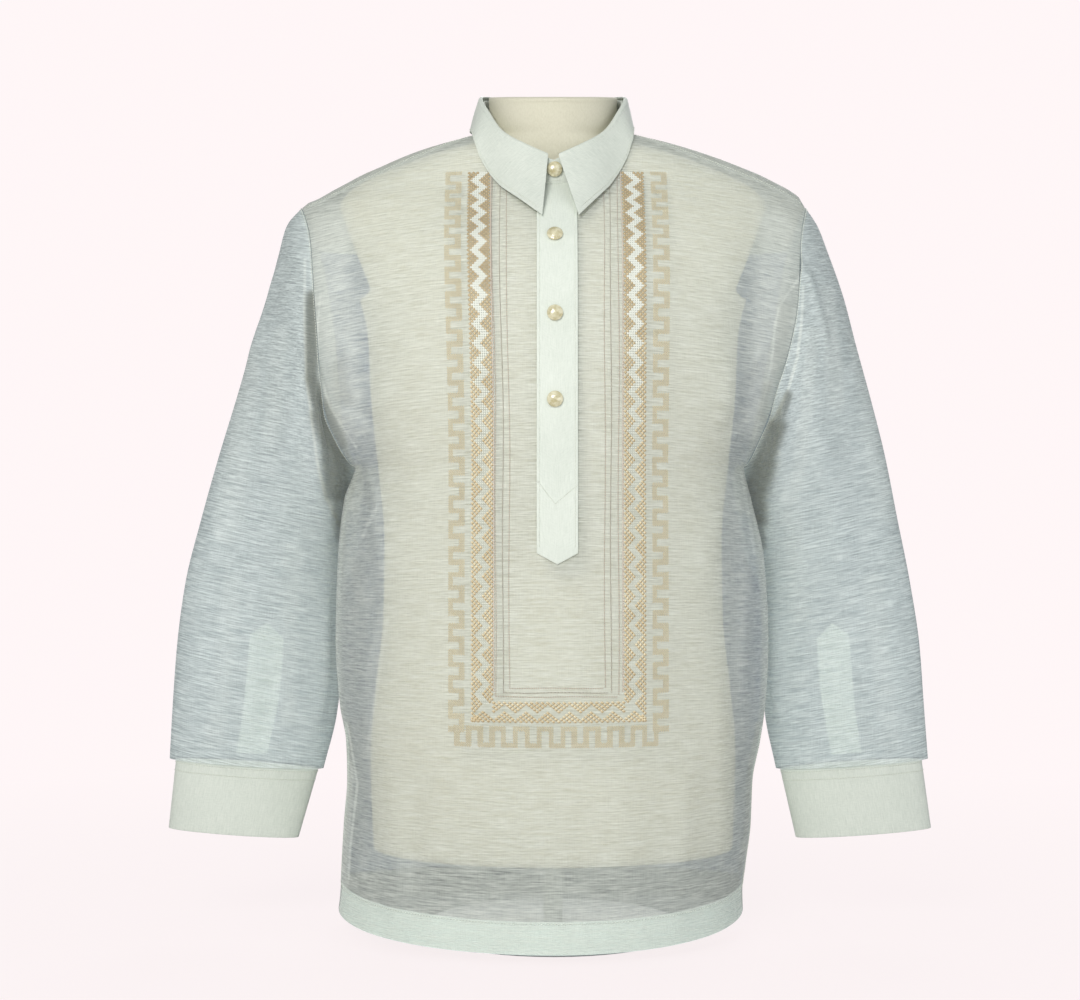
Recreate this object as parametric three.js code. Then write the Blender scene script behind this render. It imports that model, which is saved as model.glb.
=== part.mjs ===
// Barong tagalog: a sheer long-sleeved formal shirt with a half placket, worn by a limbless dress form
// that stands on a short post and a round base. Millimetres, +Z up, the shirt's front faces -Y, and the
// wearer's right sleeve is on the -X side. The origin is the middle of the base's underside.
import * as THREE from "three";

// Driving sizes
const WALL = 1.1; // the sheer cloth of the body and sleeves
const STIFF_WALL = 1.4; // the collar, placket and cuffs, which are doubled and interfaced
const SEAM = 0.3; // between pieces that are sewn together
const LAID_ON = 0.6; // under a piece that lies on another, for its flat facets
const HEM_Z = 8; // the hem's lowest point is this far above the floor
const HEM_RISE = 17; // how much higher it is at the side seams
const HEM_HIGH = 29;
const VENT_TOP = 190; // the side vents open below this
const VENT_HALF = 4; // half the vent's gap at the hem
const ARMPIT_Z = 440;
const SHOULDER_Z = 685;
const SHOULDER_SEAM_DROP = 10; // the front seam runs this far below the shoulder's ridge
const COLLAR_WIDE = 66; // the collar stand's outer half width, seen from above
const COLLAR_DEEP = 67; // and half its depth from front to back
const COLLAR_FORWARD = 5; // how far the neck's middle is in front of the shoulder line
const FOLD_R = 2.8; // the roll where the collar leaf turns over the stand
const UNDER_FOLD = 3.9; // the stand ends this far below the leaf's fold line
const STAND_CLEAR = 2; // and starts this far above the body's cloth
const LEAF_CLEAR = 5; // the leaf's free edge hangs at least this far above the body's cloth
const LAP_LIFT = 2.2; // a lapped end stands off its start by this much
const PLACKET_X = 3;
const PLACKET_WIDE = 36.5;
const PLACKET_TIP_Z = 351;
const PLACKET_POINT = 10; // how far the pointed end reaches below its corners
const PLACKET_CLEAR = 2.4; // below the collar stand
const BUTTON_X = 1;
const COLLAR_BUTTON_Z = 710.5;
const PLACKET_BUTTON_Z = [644.9, 573.6, 497.2];
const BUTTON_R = 7.2;
const BUTTON_THICK = 3.4;
// Radius and height of a button's outline, as shares of its whole radius and thickness
const BUTTON_PROFILE = [[0, 0], [0.9, 0], [1, 0.25], [0.93, 0.5], [0.55, 0.85], [0, 1]];
const CUFF_BUTTON_R = 5.5;
const FORM_BOTTOM_Z = 78;
const POST_R = 9;
const BASE_R = 122;
const BASE_THICK = 7;

// The shirt's body at each height: half widths on its right and left, and how far it reaches forward and
// back. Above SHOULDER_Z the half widths trace the shoulders' ridge.
const BODY = [
  { z: 8, right: 205, left: 180, front: 150, back: 142 },
  { z: 40, right: 201, left: 179, front: 150, back: 142 },
  { z: 66, right: 200, left: 182, front: 150, back: 141 },
  { z: 104, right: 198, left: 187, front: 149, back: 141 },
  { z: 145, right: 195, left: 189, front: 148, back: 140 },
  { z: 180, right: 196, left: 196, front: 147, back: 139 },
  { z: 215, right: 202, left: 201, front: 146, back: 139 },
  { z: 275, right: 206, left: 204, front: 144, back: 137 },
  { z: 351, right: 204, left: 200, front: 142, back: 135 },
  { z: 408, right: 198, left: 188, front: 141, back: 133 },
  { z: 440, right: 188, left: 181, front: 140, back: 132 },
  { z: 500, right: 210, left: 200, front: 138, back: 131 },
  { z: 560, right: 218, left: 214, front: 135, back: 130 },
  { z: 600, right: 222, left: 222, front: 130, back: 127 },
  { z: 640, right: 230, left: 230, front: 116, back: 119 },
  { z: 670, right: 236, left: 237, front: 95, back: 108 },
  { z: 685, right: 238, left: 239, front: 82, back: 100 },
  { z: 693, right: 223, left: 235, front: 75, back: 95 },
  { z: 701, right: 209, left: 225, front: 69, back: 91 },
  { z: 708, right: 196, left: 212, front: 65, back: 87 },
  { z: 716, right: 181, left: 196, front: 61, back: 82 },
  { z: 723, right: 165, left: 179, front: 58, back: 78 },
  { z: 731, right: 147, left: 158, front: 56, back: 73 },
  { z: 739, right: 126, left: 134, front: 53, back: 69 },
  { z: 746, right: 102, left: 109, front: 51, back: 65 },
  { z: 753, right: 72, left: 75, front: 49, back: 62 },
  { z: 760, right: 40, left: 40, front: 47, back: 58 },
];

// The armhole seam, by how far round it a point lies from the shoulder: 90 degrees is its front.
const ARMHOLE = [
  { turn: 0, right: 238, left: 239, y: 0, z: 685 },
  { turn: 45, right: 225, left: 229, y: -50, z: 650 },
  { turn: 90, right: 217, left: 221, y: -74, z: 572 },
  { turn: 135, right: 210, left: 199, y: -54, z: 486 },
  { turn: 180, right: 189, left: 182, y: 0, z: 440 },
  { turn: 225, right: 206, left: 198, y: 56, z: 486 },
  { turn: 270, right: 215, left: 217, y: 78, z: 572 },
  { turn: 315, right: 227, left: 229, y: 54, z: 650 },
];

// Each sleeve from the armhole to the cuff: its outer and inner edge, half its thickness front to back,
// how far its front is turned towards the body, and how far its inner edge lies behind its outer one.
const LIMB_COLUMNS = "out_z right_out left_out in_z right_in left_in thick turned behind".split(" ");
const limbRow = (values) => Object.fromEntries(LIMB_COLUMNS.map((column, i) => [column, values[i]]));
const SLEEVE = [
  [685, 238, 239, 440, 189, 182, 76, 0, 0],
  [668, 252, 250, 436, 190.6, 183.6, 77, 0, 3],
  [640, 260, 261, 431, 192.3, 184.8, 77, 0, 6],
  [600, 270, 275, 425, 194, 186, 75, 2, 11],
  [555, 285, 287, 416, 196.4, 187.8, 71, 4, 18],
  [505, 300, 301, 402, 198.8, 189.8, 65, 7, 25],
  [450, 317, 315, 380, 200.8, 194.4, 57, 9, 31],
  [390, 334, 327, 345, 202.6, 199.4, 49, 9, 36],
  [330, 349, 339, 300, 203.6, 202, 42, 8, 38],
  [270, 357, 348, 250, 203.8, 202.2, 37, 6, 36],
  [215, 361, 352, 203, 208, 204.5, 33, 3, 30],
  [163, 364, 356, 151, 220, 214, 26, 0, 20],
].map(limbRow);
const CUFF = [
  [162, 358, 350, 150, 225, 218, 22, 0, 19],
  [97, 365, 359, 86, 243, 232, 19, 0, 12],
].map(limbRow);
const CUFF_LAP = 9; // degrees that each end of the cuff's band passes the middle of the back
const SETTLED = 0.42; // the share of the sleeve over which the armhole seam's shape fades away
// The sleeve's placket: half its width in degrees round the sleeve, and the shares down the sleeve of its
// tip, its upper corners and its end.
const SLEEVE_PLACKET = { half: 11.5, tip: 0.772, corner: 0.794, end: 0.99 };

// The broad folds of the body, each a soft ridge along a line on its front or back.
const BODY_FOLDS = [
  { on: "front", x: -186, z: 462, to_x: -112, to_z: 552, wide: 17, out: 5 },
  { on: "front", x: -184, z: 430, to_x: -122, to_z: 300, wide: 22, out: 5 },
  { on: "front", x: 178, z: 452, to_x: 140, to_z: 560, wide: 18, out: 5 },
  { on: "front", x: 176, z: 430, to_x: 124, to_z: 310, wide: 22, out: 5 },
  { on: "back", x: -176, z: 440, to_x: -96, to_z: 330, wide: 24, out: 6 },
  { on: "back", x: 170, z: 440, to_x: 96, to_z: 330, wide: 24, out: 6 },
  { on: "back", x: -150, z: 600, to_x: -120, to_z: 200, wide: 26, out: 4 },
  { on: "back", x: 150, z: 600, to_x: 120, to_z: 200, wide: 26, out: 4 },
];

// The sleeve's folds: where round it, from which height to which, and how far each stands out or in.
// The last two are the pleats at the cuff, beside the sleeve placket.
const SLEEVE_FOLDS = [
  { turn: 128, from_z: 640, to_z: 330, wide: 20, out: 4 },
  { turn: 52, from_z: 600, to_z: 200, wide: 24, out: -4 },
  { turn: 315, from_z: 600, to_z: 260, wide: 26, out: -4 },
  { turn: 325, from_z: 215, to_z: 120, wide: 12, out: 3 },
  { turn: 298, from_z: 215, to_z: 120, wide: 10, out: 3 },
];

// The collar leaf's fold line, from the back of the neck to its front.
const COLLAR_FOLD = [
  { turn: 0, z: 798 },
  { turn: 50, z: 797 },
  { turn: 85, z: 791 },
  { turn: 112, z: 775 },
  { turn: 137, z: 749 },
  { turn: 160, z: 734 },
  { turn: 180, z: 723 },
];
// The collar leaf's free edge, from the back of the neck to each tip.
const COLLAR_EDGE = [
  { turn: 0, right_x: 0, left_x: 0, y: 71, z: 743 },
  { turn: 30, right_x: -38, left_x: 38, y: 61, z: 743 },
  { turn: 60, right_x: -66, left_x: 66, y: 35, z: 745 },
  { turn: 90, right_x: -79, left_x: 77, y: -5, z: 744 },
  { turn: 115, right_x: -71, left_x: 71, y: -42, z: 721 },
  { turn: 140, right_x: -50, left_x: 52, y: -72, z: 699 },
  { turn: 162, right_x: -28, left_x: 36, y: -93, z: 679 },
  { turn: 178, right_x: -10.5, left_x: 22.8, y: -106, z: 665 },
];

// The dress form's horizontal sections from the hips to the neck. A pinch above 1 thins a section towards
// its ends, where the shoulders run out from the neck.
const FORM = [
  { z: 78, half: 170, front: 116, back: 114, pinch: 1 },
  { z: 120, half: 172, front: 119, back: 119, pinch: 1 },
  { z: 170, half: 173, front: 120, back: 120, pinch: 1 },
  { z: 230, half: 168, front: 117, back: 115, pinch: 1 },
  { z: 300, half: 161, front: 114, back: 107, pinch: 1 },
  { z: 370, half: 160, front: 117, back: 107, pinch: 1 },
  { z: 440, half: 166, front: 123, back: 112, pinch: 1 },
  { z: 510, half: 173, front: 126, back: 118, pinch: 1 },
  { z: 560, half: 175, front: 124, back: 120, pinch: 1 },
  { z: 600, half: 184, front: 117, back: 117, pinch: 1 },
  { z: 635, half: 200, front: 104, back: 110, pinch: 1 },
  { z: 662, half: 209, front: 88, back: 99, pinch: 1 },
  { z: 680, half: 207, front: 76, back: 91, pinch: 1 },
  { z: 694, half: 199, front: 66, back: 84, pinch: 1.1 },
  { z: 704, half: 189, front: 60, back: 79, pinch: 1.2 },
  { z: 712, half: 175, front: 57, back: 75, pinch: 1.25 },
  { z: 719, half: 160, front: 55, back: 71, pinch: 1.3 },
  { z: 727, half: 140, front: 54, back: 66, pinch: 1.45 },
  { z: 735, half: 119, front: 53, back: 61, pinch: 1.6 },
  { z: 742, half: 95, front: 53, back: 56, pinch: 1.7 },
  { z: 748, half: 66, front: 54, back: 53, pinch: 1.5 },
  { z: 757, half: 61, front: 57, back: 52, pinch: 1.1 },
  { z: 772, half: 60.5, front: 59, back: 52, pinch: 1 },
  { z: 790, half: 61, front: 60, back: 52, pinch: 1 },
];
const NECK_TILT = 0.19; // the neck's flat top leans forward by this slope
const ARM_PLATE = { x: 168, z: 600, slope: 0.4 }; // the flat where each arm ends, wider at its top

const FRONT = -1;
const BACK = 1;
const RIGHT = -1;
const LEFT = 1;
const SIDES = [
  { side: RIGHT, name: "right" },
  { side: LEFT, name: "left" },
];

const mix = (a, b, share) => a + (b - a) * share;
const clamp = (x, low, high) => Math.min(high, Math.max(low, x));
const radians = (angle) => (angle * Math.PI) / 180;
function spread(from, to, strips) {
  return Array.from({ length: strips + 1 }, (_, i) => mix(from, to, i / strips));
}
const ring = (strips) => spread(0, 360, strips).slice(0, -1);
function ramp(from, to, x) {
  const t = clamp((x - from) / (to - from), 0, 1);
  return t * t * (3 - 2 * t);
}
// The place between two bounds where a measure that falls on the way reaches a goal.
function seek(low, high, goal, measure) {
  let [a, b] = [low, high];
  for (let i = 0; i < 40; i += 1) {
    const middle = (a + b) / 2;
    if (measure(middle) > goal) a = middle;
    else b = middle;
  }
  return (a + b) / 2;
}

// The value of one column of a table at x, on a smooth curve that doesn't overshoot between the rows.
function along(rows, key, column, x) {
  const last = rows.length - 1;
  const goal = clamp(x, rows[0][key], rows[last][key]);
  let i = 0;
  while (i < last - 1 && goal > rows[i + 1][key]) i += 1;
  const rise = (j) => (rows[j + 1][column] - rows[j][column]) / (rows[j + 1][key] - rows[j][key]);
  const slope = (j) => {
    if (j === 0) return rise(0);
    if (j === last) return rise(last - 1);
    const before = rise(j - 1);
    const after = rise(j);
    return before * after <= 0 ? 0 : (2 * before * after) / (before + after);
  };
  const wide = rows[i + 1][key] - rows[i][key];
  const t = (goal - rows[i][key]) / wide;
  const bend = slope(i) * (1 - t) * (1 - t) * t - slope(i + 1) * (1 - t) * t * t;
  return mix(rows[i][column], rows[i + 1][column], t * t * (3 - 2 * t)) + bend * wide;
}
const numbered = (rows) => rows.map((row, i) => ({ ...row, share: i / (rows.length - 1) }));

// A point of the armhole seam. The curve runs smoothly through the table's rows and closes on itself.
function armhole(side, turn) {
  const step = 360 / ARMHOLE.length;
  const place = (((turn % 360) + 360) % 360) / step;
  const i = Math.floor(place);
  const t = place - i;
  const value = (column) => {
    const near = [-1, 0, 1, 2].map((j) => ARMHOLE[(i + j + ARMHOLE.length) % ARMHOLE.length][column]);
    const [a, b, c, d] = near;
    return b + 0.5 * t * (c - a + t * (2 * a - 5 * b + 4 * c - d + t * (3 * (b - c) + d - a)));
  };
  return new THREE.Vector3(side * value(side === RIGHT ? "right" : "left"), value("y"), value("z"));
}
// The cloth on both sides of the seam has its corners at these turns, so that the facets fit together.
const TIP_TURN = 15; // where the front shoulder seam meets the armhole
const YOKE_TURN = 315; // where the yoke's seam with the back meets it
const FRONT_TURNS = [165, 150, 135, 120, 105, 90, 75, 60, 45, 30];
const BACK_TURNS = [195, 210, 225, 240, 255, 270, 285, 300];
const YOKE_TURNS = [-45, -37.5, -30, -22.5, -15, -7.5, 0, 7.5, 15];
function armholeTurn(side, face, z) {
  return seek(face === FRONT ? 0 : 360, 180, z, (turn) => armhole(side, turn).z);
}

const halfWidth = (side, z) => along(BODY, "z", side === RIGHT ? "right" : "left", z);
const sideOf = (x) => (x < 0 ? RIGHT : LEFT);
const faceOf = (y) => (y < 0 ? FRONT : BACK);

// Where a horizontal section of the body ends on one side: at the side seam, the armhole or the ridge.
function sectionEnd(side, face, z) {
  if (z <= ARMPIT_Z || z >= SHOULDER_Z) return { x: halfWidth(side, z), y: 0 };
  const p = armhole(side, armholeTurn(side, face, z));
  return { x: Math.abs(p.x), y: p.y };
}

// How far the folds lift the cloth at a place on the body's front or back.
function foldLift(face, x, z) {
  let lift = 0;
  for (const fold of BODY_FOLDS) {
    if ((fold.on === "front" ? FRONT : BACK) !== face) continue;
    const run = new THREE.Vector2(fold.to_x - fold.x, fold.to_z - fold.z);
    const here = new THREE.Vector2(x - fold.x, z - fold.z);
    const share = clamp(here.dot(run) / run.lengthSq(), 0, 1);
    const off = here.sub(run.multiplyScalar(share)).length();
    lift += fold.out * Math.sin(Math.PI * mix(0.12, 1, share)) * Math.exp(-((off / fold.wide) ** 2));
  }
  return lift;
}

// The body's surface at a place seen from the front: y of its front or back face. Each section is half an
// oval. Between the armpit and the shoulder it is a wider one, cut short where it meets the armhole.
function bodyDepth(face, x, z) {
  const end = sectionEnd(sideOf(x), face, z);
  const reach = along(BODY, "z", face === FRONT ? "front" : "back", z);
  const half = end.x / Math.sqrt(1 - (end.y / reach) ** 2);
  const crown = Math.sqrt(Math.max(0, 1 - (x / half) ** 2));
  const nearEdge = ramp(0, 0.3, 1 - (x / end.x) ** 2);
  return face * (reach * crown + foldLift(face, x, z) * nearEdge);
}
// The height of the shoulders' ridge at x, and of the body's surface at a place near the neck.
function ridgeHeight(x) {
  return seek(SHOULDER_Z, BODY[BODY.length - 1].z, Math.abs(x), (z) => halfWidth(sideOf(x), z));
}
function heightAt(x, y) {
  const face = faceOf(y);
  const wellBelow = 600;
  return seek(wellBelow, ridgeHeight(x), face * y, (z) => face * bodyDepth(face, x, z));
}

// The neckline seam, where the body's cloth meets the upright stand. Turn 0 is the back of the neck.
function neckPlan(turn, more = 0) {
  const a = radians(turn);
  const y = (COLLAR_DEEP + more) * Math.cos(a) - COLLAR_FORWARD;
  return new THREE.Vector3((COLLAR_WIDE + more) * Math.sin(a), y, 0);
}
function neckSeam(turn) {
  const p = neckPlan(turn);
  return p.setZ(heightAt(p.x, p.y));
}

// The front's upper edge seen from the front: the two shoulder seams with the neckline between them.
const NECK_SIDE_TURN = 102; // where the shoulder seam meets the neckline
const NECK_SHARE = 0.36; // the share of the half width that the neckline takes up
const SEAM_SAG = SHOULDER_SEAM_DROP - 3; // how far the seam's middle hangs below the line of its ends
function shoulderSeam(side, share) {
  const tip = armhole(side, TIP_TURN);
  const neck = neckSeam(side * NECK_SIDE_TURN);
  const x = mix(neck.x, tip.x, share);
  const drop = mix(ridgeHeight(neck.x) - neck.z, ridgeHeight(tip.x) - tip.z, share);
  return { x, z: ridgeHeight(x) - drop - Math.sin(Math.PI * share) * SEAM_SAG };
}
function frontTop(t) {
  const side = sideOf(t);
  const share = Math.abs(t);
  if (share >= NECK_SHARE) {
    const seam = shoulderSeam(side, (share - NECK_SHARE) / (1 - NECK_SHARE));
    return { x: seam.x, z: seam.z - SEAM };
  }
  const seam = neckSeam(side * (180 - (180 - NECK_SIDE_TURN) * (share / NECK_SHARE)));
  return { x: seam.x, z: seam.z - SEAM };
}
const YOKE_SEAM_Z = armhole(RIGHT, YOKE_TURN).z;
const YOKE_SPREAD = 1.1; // radians: how the columns bunch towards the armholes on the back
function yokeSeam(t, gap) {
  const side = sideOf(t);
  const edge = armhole(side, YOKE_TURN);
  const share = Math.sin(t * YOKE_SPREAD) / Math.sin(YOKE_SPREAD);
  return { x: Math.abs(edge.x) * share, z: YOKE_SEAM_Z + gap };
}

// The front or back panel. t runs across it from -1 to 1, and v up it from the hem to its upper edge.
// The hem rises towards the side seams, and the rows take up the upper edge's shape as they climb: its
// columns by the first power of v, its height by the second.
const COLUMN_POWER = 1.35;
const HEIGHT_POWER = 2.4;
function bodyPanel(face, top) {
  return (t, v) => {
    const side = sideOf(t);
    const edge = top(side);
    const upper = top(t);
    const rise = HEM_RISE * t ** 2 * (1 - v) ** 3;
    const edgeZ = mix(HEM_Z, edge.z, v);
    const end = sectionEnd(side, face, edgeZ + rise);
    if (Math.abs(t) === 1) return parted(face, new THREE.Vector3(side * end.x, end.y, edgeZ + rise));
    const evenly = side * end.x * Math.sin((Math.PI / 2) * Math.abs(t));
    const x = mix(evenly, (upper.x / edge.x) * side * end.x, v ** COLUMN_POWER);
    const z = edgeZ + rise + (upper.z - edge.z) * v ** HEIGHT_POWER;
    return parted(face, new THREE.Vector3(x, bodyDepth(face, x, z), z));
  };
}
// The two panels stand a seam apart, and part further below the vent's top, near their side edges.
const VENT_REACH = 60;
function parted(face, p) {
  const open = VENT_HALF * (1 - ramp(HEM_Z, VENT_TOP, p.z));
  const atSide = 1 - clamp(Math.abs(p.y) / VENT_REACH, 0, 1);
  return p.setY(p.y + face * (SEAM * 0.6 + open * atSide));
}
const frontPanel = bodyPanel(FRONT, frontTop);
const backPanel = bodyPanel(BACK, (t) => yokeSeam(t, -SEAM));

// The yoke: v runs from its seam with the back, over the shoulder's ridge, to the front shoulder seam,
// or to the neckline between the two shoulders.
function yoke(t, v) {
  const side = sideOf(t);
  const share = Math.abs(t);
  const start = yokeSeam(t, SEAM);
  if (share === 1) return armhole(side, mix(YOKE_TURN - 360 + SEAM, TIP_TURN - SEAM, v));
  const away = (p, face) => face * Math.sqrt(Math.max(0, ridgeHeight(p.x) - p.z));
  let end = neckSeam((side * NECK_SIDE_TURN * share) / NECK_SHARE);
  let far = away(end, faceOf(end.y));
  if (share >= NECK_SHARE) {
    end = shoulderSeam(side, (share - NECK_SHARE) / (1 - NECK_SHARE));
    far = away({ x: end.x, z: end.z + SEAM }, FRONT);
  }
  const x = mix(start.x, end.x, v);
  const reach = mix(away(start, BACK), far, v);
  const z = ridgeHeight(x) - reach * reach;
  return new THREE.Vector3(x, bodyDepth(faceOf(reach), x, z), z);
}

// A sleeve or cuff, a share of the way down its table. Turn 0 is its outer edge, 90 its front, 180 its
// inner edge, where the underarm seam is, and 270 its back.
function limb(side, rows, share, turn) {
  const table = numbered(rows);
  const get = (column) => along(table, "share", column, share);
  const name = side === RIGHT ? "right" : "left";
  const a = radians(turn);
  const across = (1 - Math.cos(a)) / 2;
  const p = new THREE.Vector3(
    side * mix(get(`${name}_out`), get(`${name}_in`), across),
    get("behind") * across - Math.sin(a) * get("thick"),
    mix(get("out_z"), get("in_z"), across),
  );
  p.x -= side * get("turned") * Math.max(0, Math.sin(a)) ** 2;
  return p;
}
function limbOut(side, rows, share, turn) {
  const middle = limb(side, rows, share, 0).lerp(limb(side, rows, share, 180), 0.5);
  return limb(side, rows, share, turn).sub(middle).setZ(0).normalize();
}
function sleeve(side) {
  return (turn, share) => {
    const p = limb(side, SLEEVE, share, turn);
    const seam = armhole(side, turn);
    seam.x += side * SEAM * (2 + 3 * ramp(0, 1, -Math.cos(radians(turn))));
    p.addScaledVector(seam.sub(limb(side, SLEEVE, 0, turn)), 1 - ramp(0, SETTLED, share));
    const out = limbOut(side, SLEEVE, share, turn);
    for (const fold of SLEEVE_FOLDS) {
      const off = ((turn - fold.turn + 900) % 360) - 180;
      const starts = ramp(fold.from_z, mix(fold.from_z, fold.to_z, 0.3), p.z);
      const ends = ramp(fold.to_z, mix(fold.to_z, fold.from_z, 0.3), p.z);
      p.addScaledVector(out, fold.out * starts * ends * Math.exp(-((off / fold.wide) ** 2)));
    }
    return p;
  };
}
// The sleeve's first row is square to the armhole seam, so that its wall clears the body's edge.
function squareToArmhole(side) {
  return (normal, turn, share) => {
    if (share > 0) return normal;
    const middle = armhole(side, 0).lerp(armhole(side, 180), 0.5);
    return armhole(side, turn).sub(middle).normalize();
  };
}
// The cuff is a band whose end laps over its start at the back of the wrist.
function cuff(side) {
  return (u, v) => {
    const turn = 270 + side * (-CUFF_LAP + (360 + 2 * CUFF_LAP) * u);
    const lapped = LAP_LIFT * ramp(0.88, 0.95, u);
    return limb(side, CUFF, v, turn).addScaledVector(limbOut(side, CUFF, v, turn), lapped);
  };
}
// The sleeve's placket lies on its back, above the cuff, with a pointed top.
function sleevePlacket(side) {
  const at = sleeve(side);
  const { half, tip, corner, end } = SLEEVE_PLACKET;
  return (u, v) => at(270 + side * half * u, mix(mix(tip, corner, Math.abs(u)), end, v));
}

// The collar stand, an upright band whose end laps over its start at the front.
const STAND_LAP = 11; // degrees that each end passes the middle
function stand(u, v) {
  const turn = 180 + STAND_LAP - (360 + 2 * STAND_LAP) * u;
  const p = neckPlan(turn, LAP_LIFT * ramp(0.9, 0.96, u));
  const fold = along(COLLAR_FOLD, "turn", "z", Math.abs(((turn + 540) % 360) - 180));
  return p.setZ(mix(neckSeam(turn).z + STAND_CLEAR, fold - UNDER_FOLD, v));
}
// The collar leaf rolls over the stand and falls to its free edge. u runs from the tip on the wearer's
// right, round the back, to the tip on the left. The roll takes up the first tenth of v, and starts on
// the inside, under the fold.
const ROLL = 0.1;
const ROLL_START = 120; // degrees round the roll from its outermost line
const LEAF_TURN = 178; // degrees from the back of the neck to each tip
const ROLL_OUT = 2.1; // the roll's middle stands this far outside the stand
const LEAF_BELLY = 0.7; // how far it bows outward between the fold and its edge
function leaf(u, v) {
  const side = u < 0.5 ? RIGHT : LEFT;
  const turn = LEAF_TURN * Math.abs(2 * u - 1);
  const high = along(COLLAR_FOLD, "turn", "z", turn) - FOLD_R;
  const angle = radians(mix(ROLL_START, 0, clamp(v / ROLL, 0, 1)));
  const fold = neckPlan(side * Math.min(turn, LEAF_TURN - 2), ROLL_OUT + FOLD_R * Math.cos(angle));
  fold.z = high + FOLD_R * Math.sin(angle);
  if (v <= ROLL) return fold;
  const x = along(COLLAR_EDGE, "turn", side === RIGHT ? "right_x" : "left_x", turn);
  const y = along(COLLAR_EDGE, "turn", "y", turn);
  const z = Math.max(along(COLLAR_EDGE, "turn", "z", turn), heightAt(x, y) + LEAF_CLEAR);
  const edge = new THREE.Vector3(x, y, z);
  const share = (v - ROLL) / (1 - ROLL);
  const out = neckPlan(side * turn).setY(neckPlan(side * turn).y + COLLAR_FORWARD).normalize();
  return fold.lerp(edge, share).addScaledVector(out, LEAF_BELLY * Math.sin(Math.PI * share));
}

// The front placket, seen from the front a strip with a pointed end.
function placket(u, v) {
  const x = PLACKET_X + (PLACKET_WIDE / 2) * u;
  const top = heightAt(x, neckPlan(180 - x).y) - PLACKET_CLEAR;
  const z = mix(PLACKET_TIP_Z + PLACKET_POINT * Math.abs(u), top, v);
  return new THREE.Vector3(x, bodyDepth(FRONT, x, z) - SEAM * 0.6, z);
}

// A sheet sampled at places us across and vs along it: its points, with the outward normal at each.
function sample(at, us, vs, { closed = false, turnNormal = null } = {}) {
  const points = vs.map((v) => us.map((u) => at(u, v)));
  const count = us.length;
  const normals = points.map((row, j) =>
    row.map((_, i) => {
      const next = closed ? (i + 1) % count : Math.min(i + 1, count - 1);
      const before = closed ? (i + count - 1) % count : Math.max(i - 1, 0);
      const across = row[next].clone().sub(row[before]);
      const tall = points[Math.min(j + 1, vs.length - 1)][i].clone().sub(points[Math.max(j - 1, 0)][i]);
      const normal = across.cross(tall).normalize();
      return turnNormal ? turnNormal(normal, us[i], vs[j]) : normal;
    }),
  );
  return { points, normals, closed };
}

// A closed wall between two depths under a sheet, where a negative depth lies over it. It takes up the
// whole sheet or only some of its columns and rows. Each quad is split along its shorter diagonal.
function layer(sheet, from, to, { columns = null, rows = null } = {}) {
  const [left, right] = columns ?? [0, sheet.points[0].length - 1];
  const [low, high] = rows ?? [0, sheet.points.length - 1];
  const wide = right - left + 1;
  const tall = high - low + 1;
  const points = [];
  for (const depth of [from, to]) {
    for (let j = low; j <= high; j += 1) {
      for (let i = left; i <= right; i += 1) {
        points.push(sheet.points[j][i].clone().addScaledVector(sheet.normals[j][i], -depth));
      }
    }
  }
  const faces = [];
  const quad = (a, b, c, d) => {
    const [one, other] = [points[a].distanceTo(points[c]), points[b].distanceTo(points[d])];
    faces.push(...(one <= other ? [a, b, c, a, c, d] : [a, b, d, b, c, d]));
  };
  const at = (i, j, under) => under * wide * tall + j * wide + (i % wide);
  const strips = sheet.closed ? wide : wide - 1;
  for (let i = 0; i < strips; i += 1) {
    for (let j = 0; j < tall - 1; j += 1) {
      quad(at(i, j, 0), at(i + 1, j, 0), at(i + 1, j + 1, 0), at(i, j + 1, 0));
      quad(at(i, j, 1), at(i, j + 1, 1), at(i + 1, j + 1, 1), at(i + 1, j, 1));
    }
    quad(at(i, 0, 0), at(i, 0, 1), at(i + 1, 0, 1), at(i + 1, 0, 0));
    quad(at(i, tall - 1, 0), at(i + 1, tall - 1, 0), at(i + 1, tall - 1, 1), at(i, tall - 1, 1));
  }
  for (let j = 0; j < tall - 1 && !sheet.closed; j += 1) {
    quad(at(0, j, 0), at(0, j + 1, 0), at(0, j + 1, 1), at(0, j, 1));
    quad(at(strips, j, 0), at(strips, j, 1), at(strips, j + 1, 1), at(strips, j + 1, 0));
  }
  return meshOf(points, faces);
}
function meshOf(points, faces) {
  const geometry = new THREE.BufferGeometry();
  const numbers = points.flatMap((p) => p.toArray());
  geometry.setAttribute("position", new THREE.Float32BufferAttribute(numbers, 3));
  geometry.setIndex(faces);
  return geometry;
}

// A solid through closed rings of points that run anticlockwise from above, from its bottom to its top.
function solidThrough(rings) {
  const count = rings[0].length;
  const middle = (points) => {
    const sum = points.reduce((total, p) => total.add(p), new THREE.Vector3());
    return sum.divideScalar(points.length);
  };
  const points = [...rings.flat(), middle(rings[0]), middle(rings[rings.length - 1])];
  const [bottom, top] = [points.length - 2, points.length - 1];
  const upper = (rings.length - 1) * count;
  const faces = [];
  for (let i = 0; i < count; i += 1) {
    const next = (i + 1) % count;
    for (let j = 0; j < rings.length - 1; j += 1) {
      const [a, b, c, d] = [j * count + i, j * count + next, (j + 1) * count + next, (j + 1) * count + i];
      faces.push(a, b, c, a, c, d);
    }
    faces.push(bottom, next, i, top, upper + i, upper + next);
  }
  return meshOf(points, faces);
}

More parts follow.
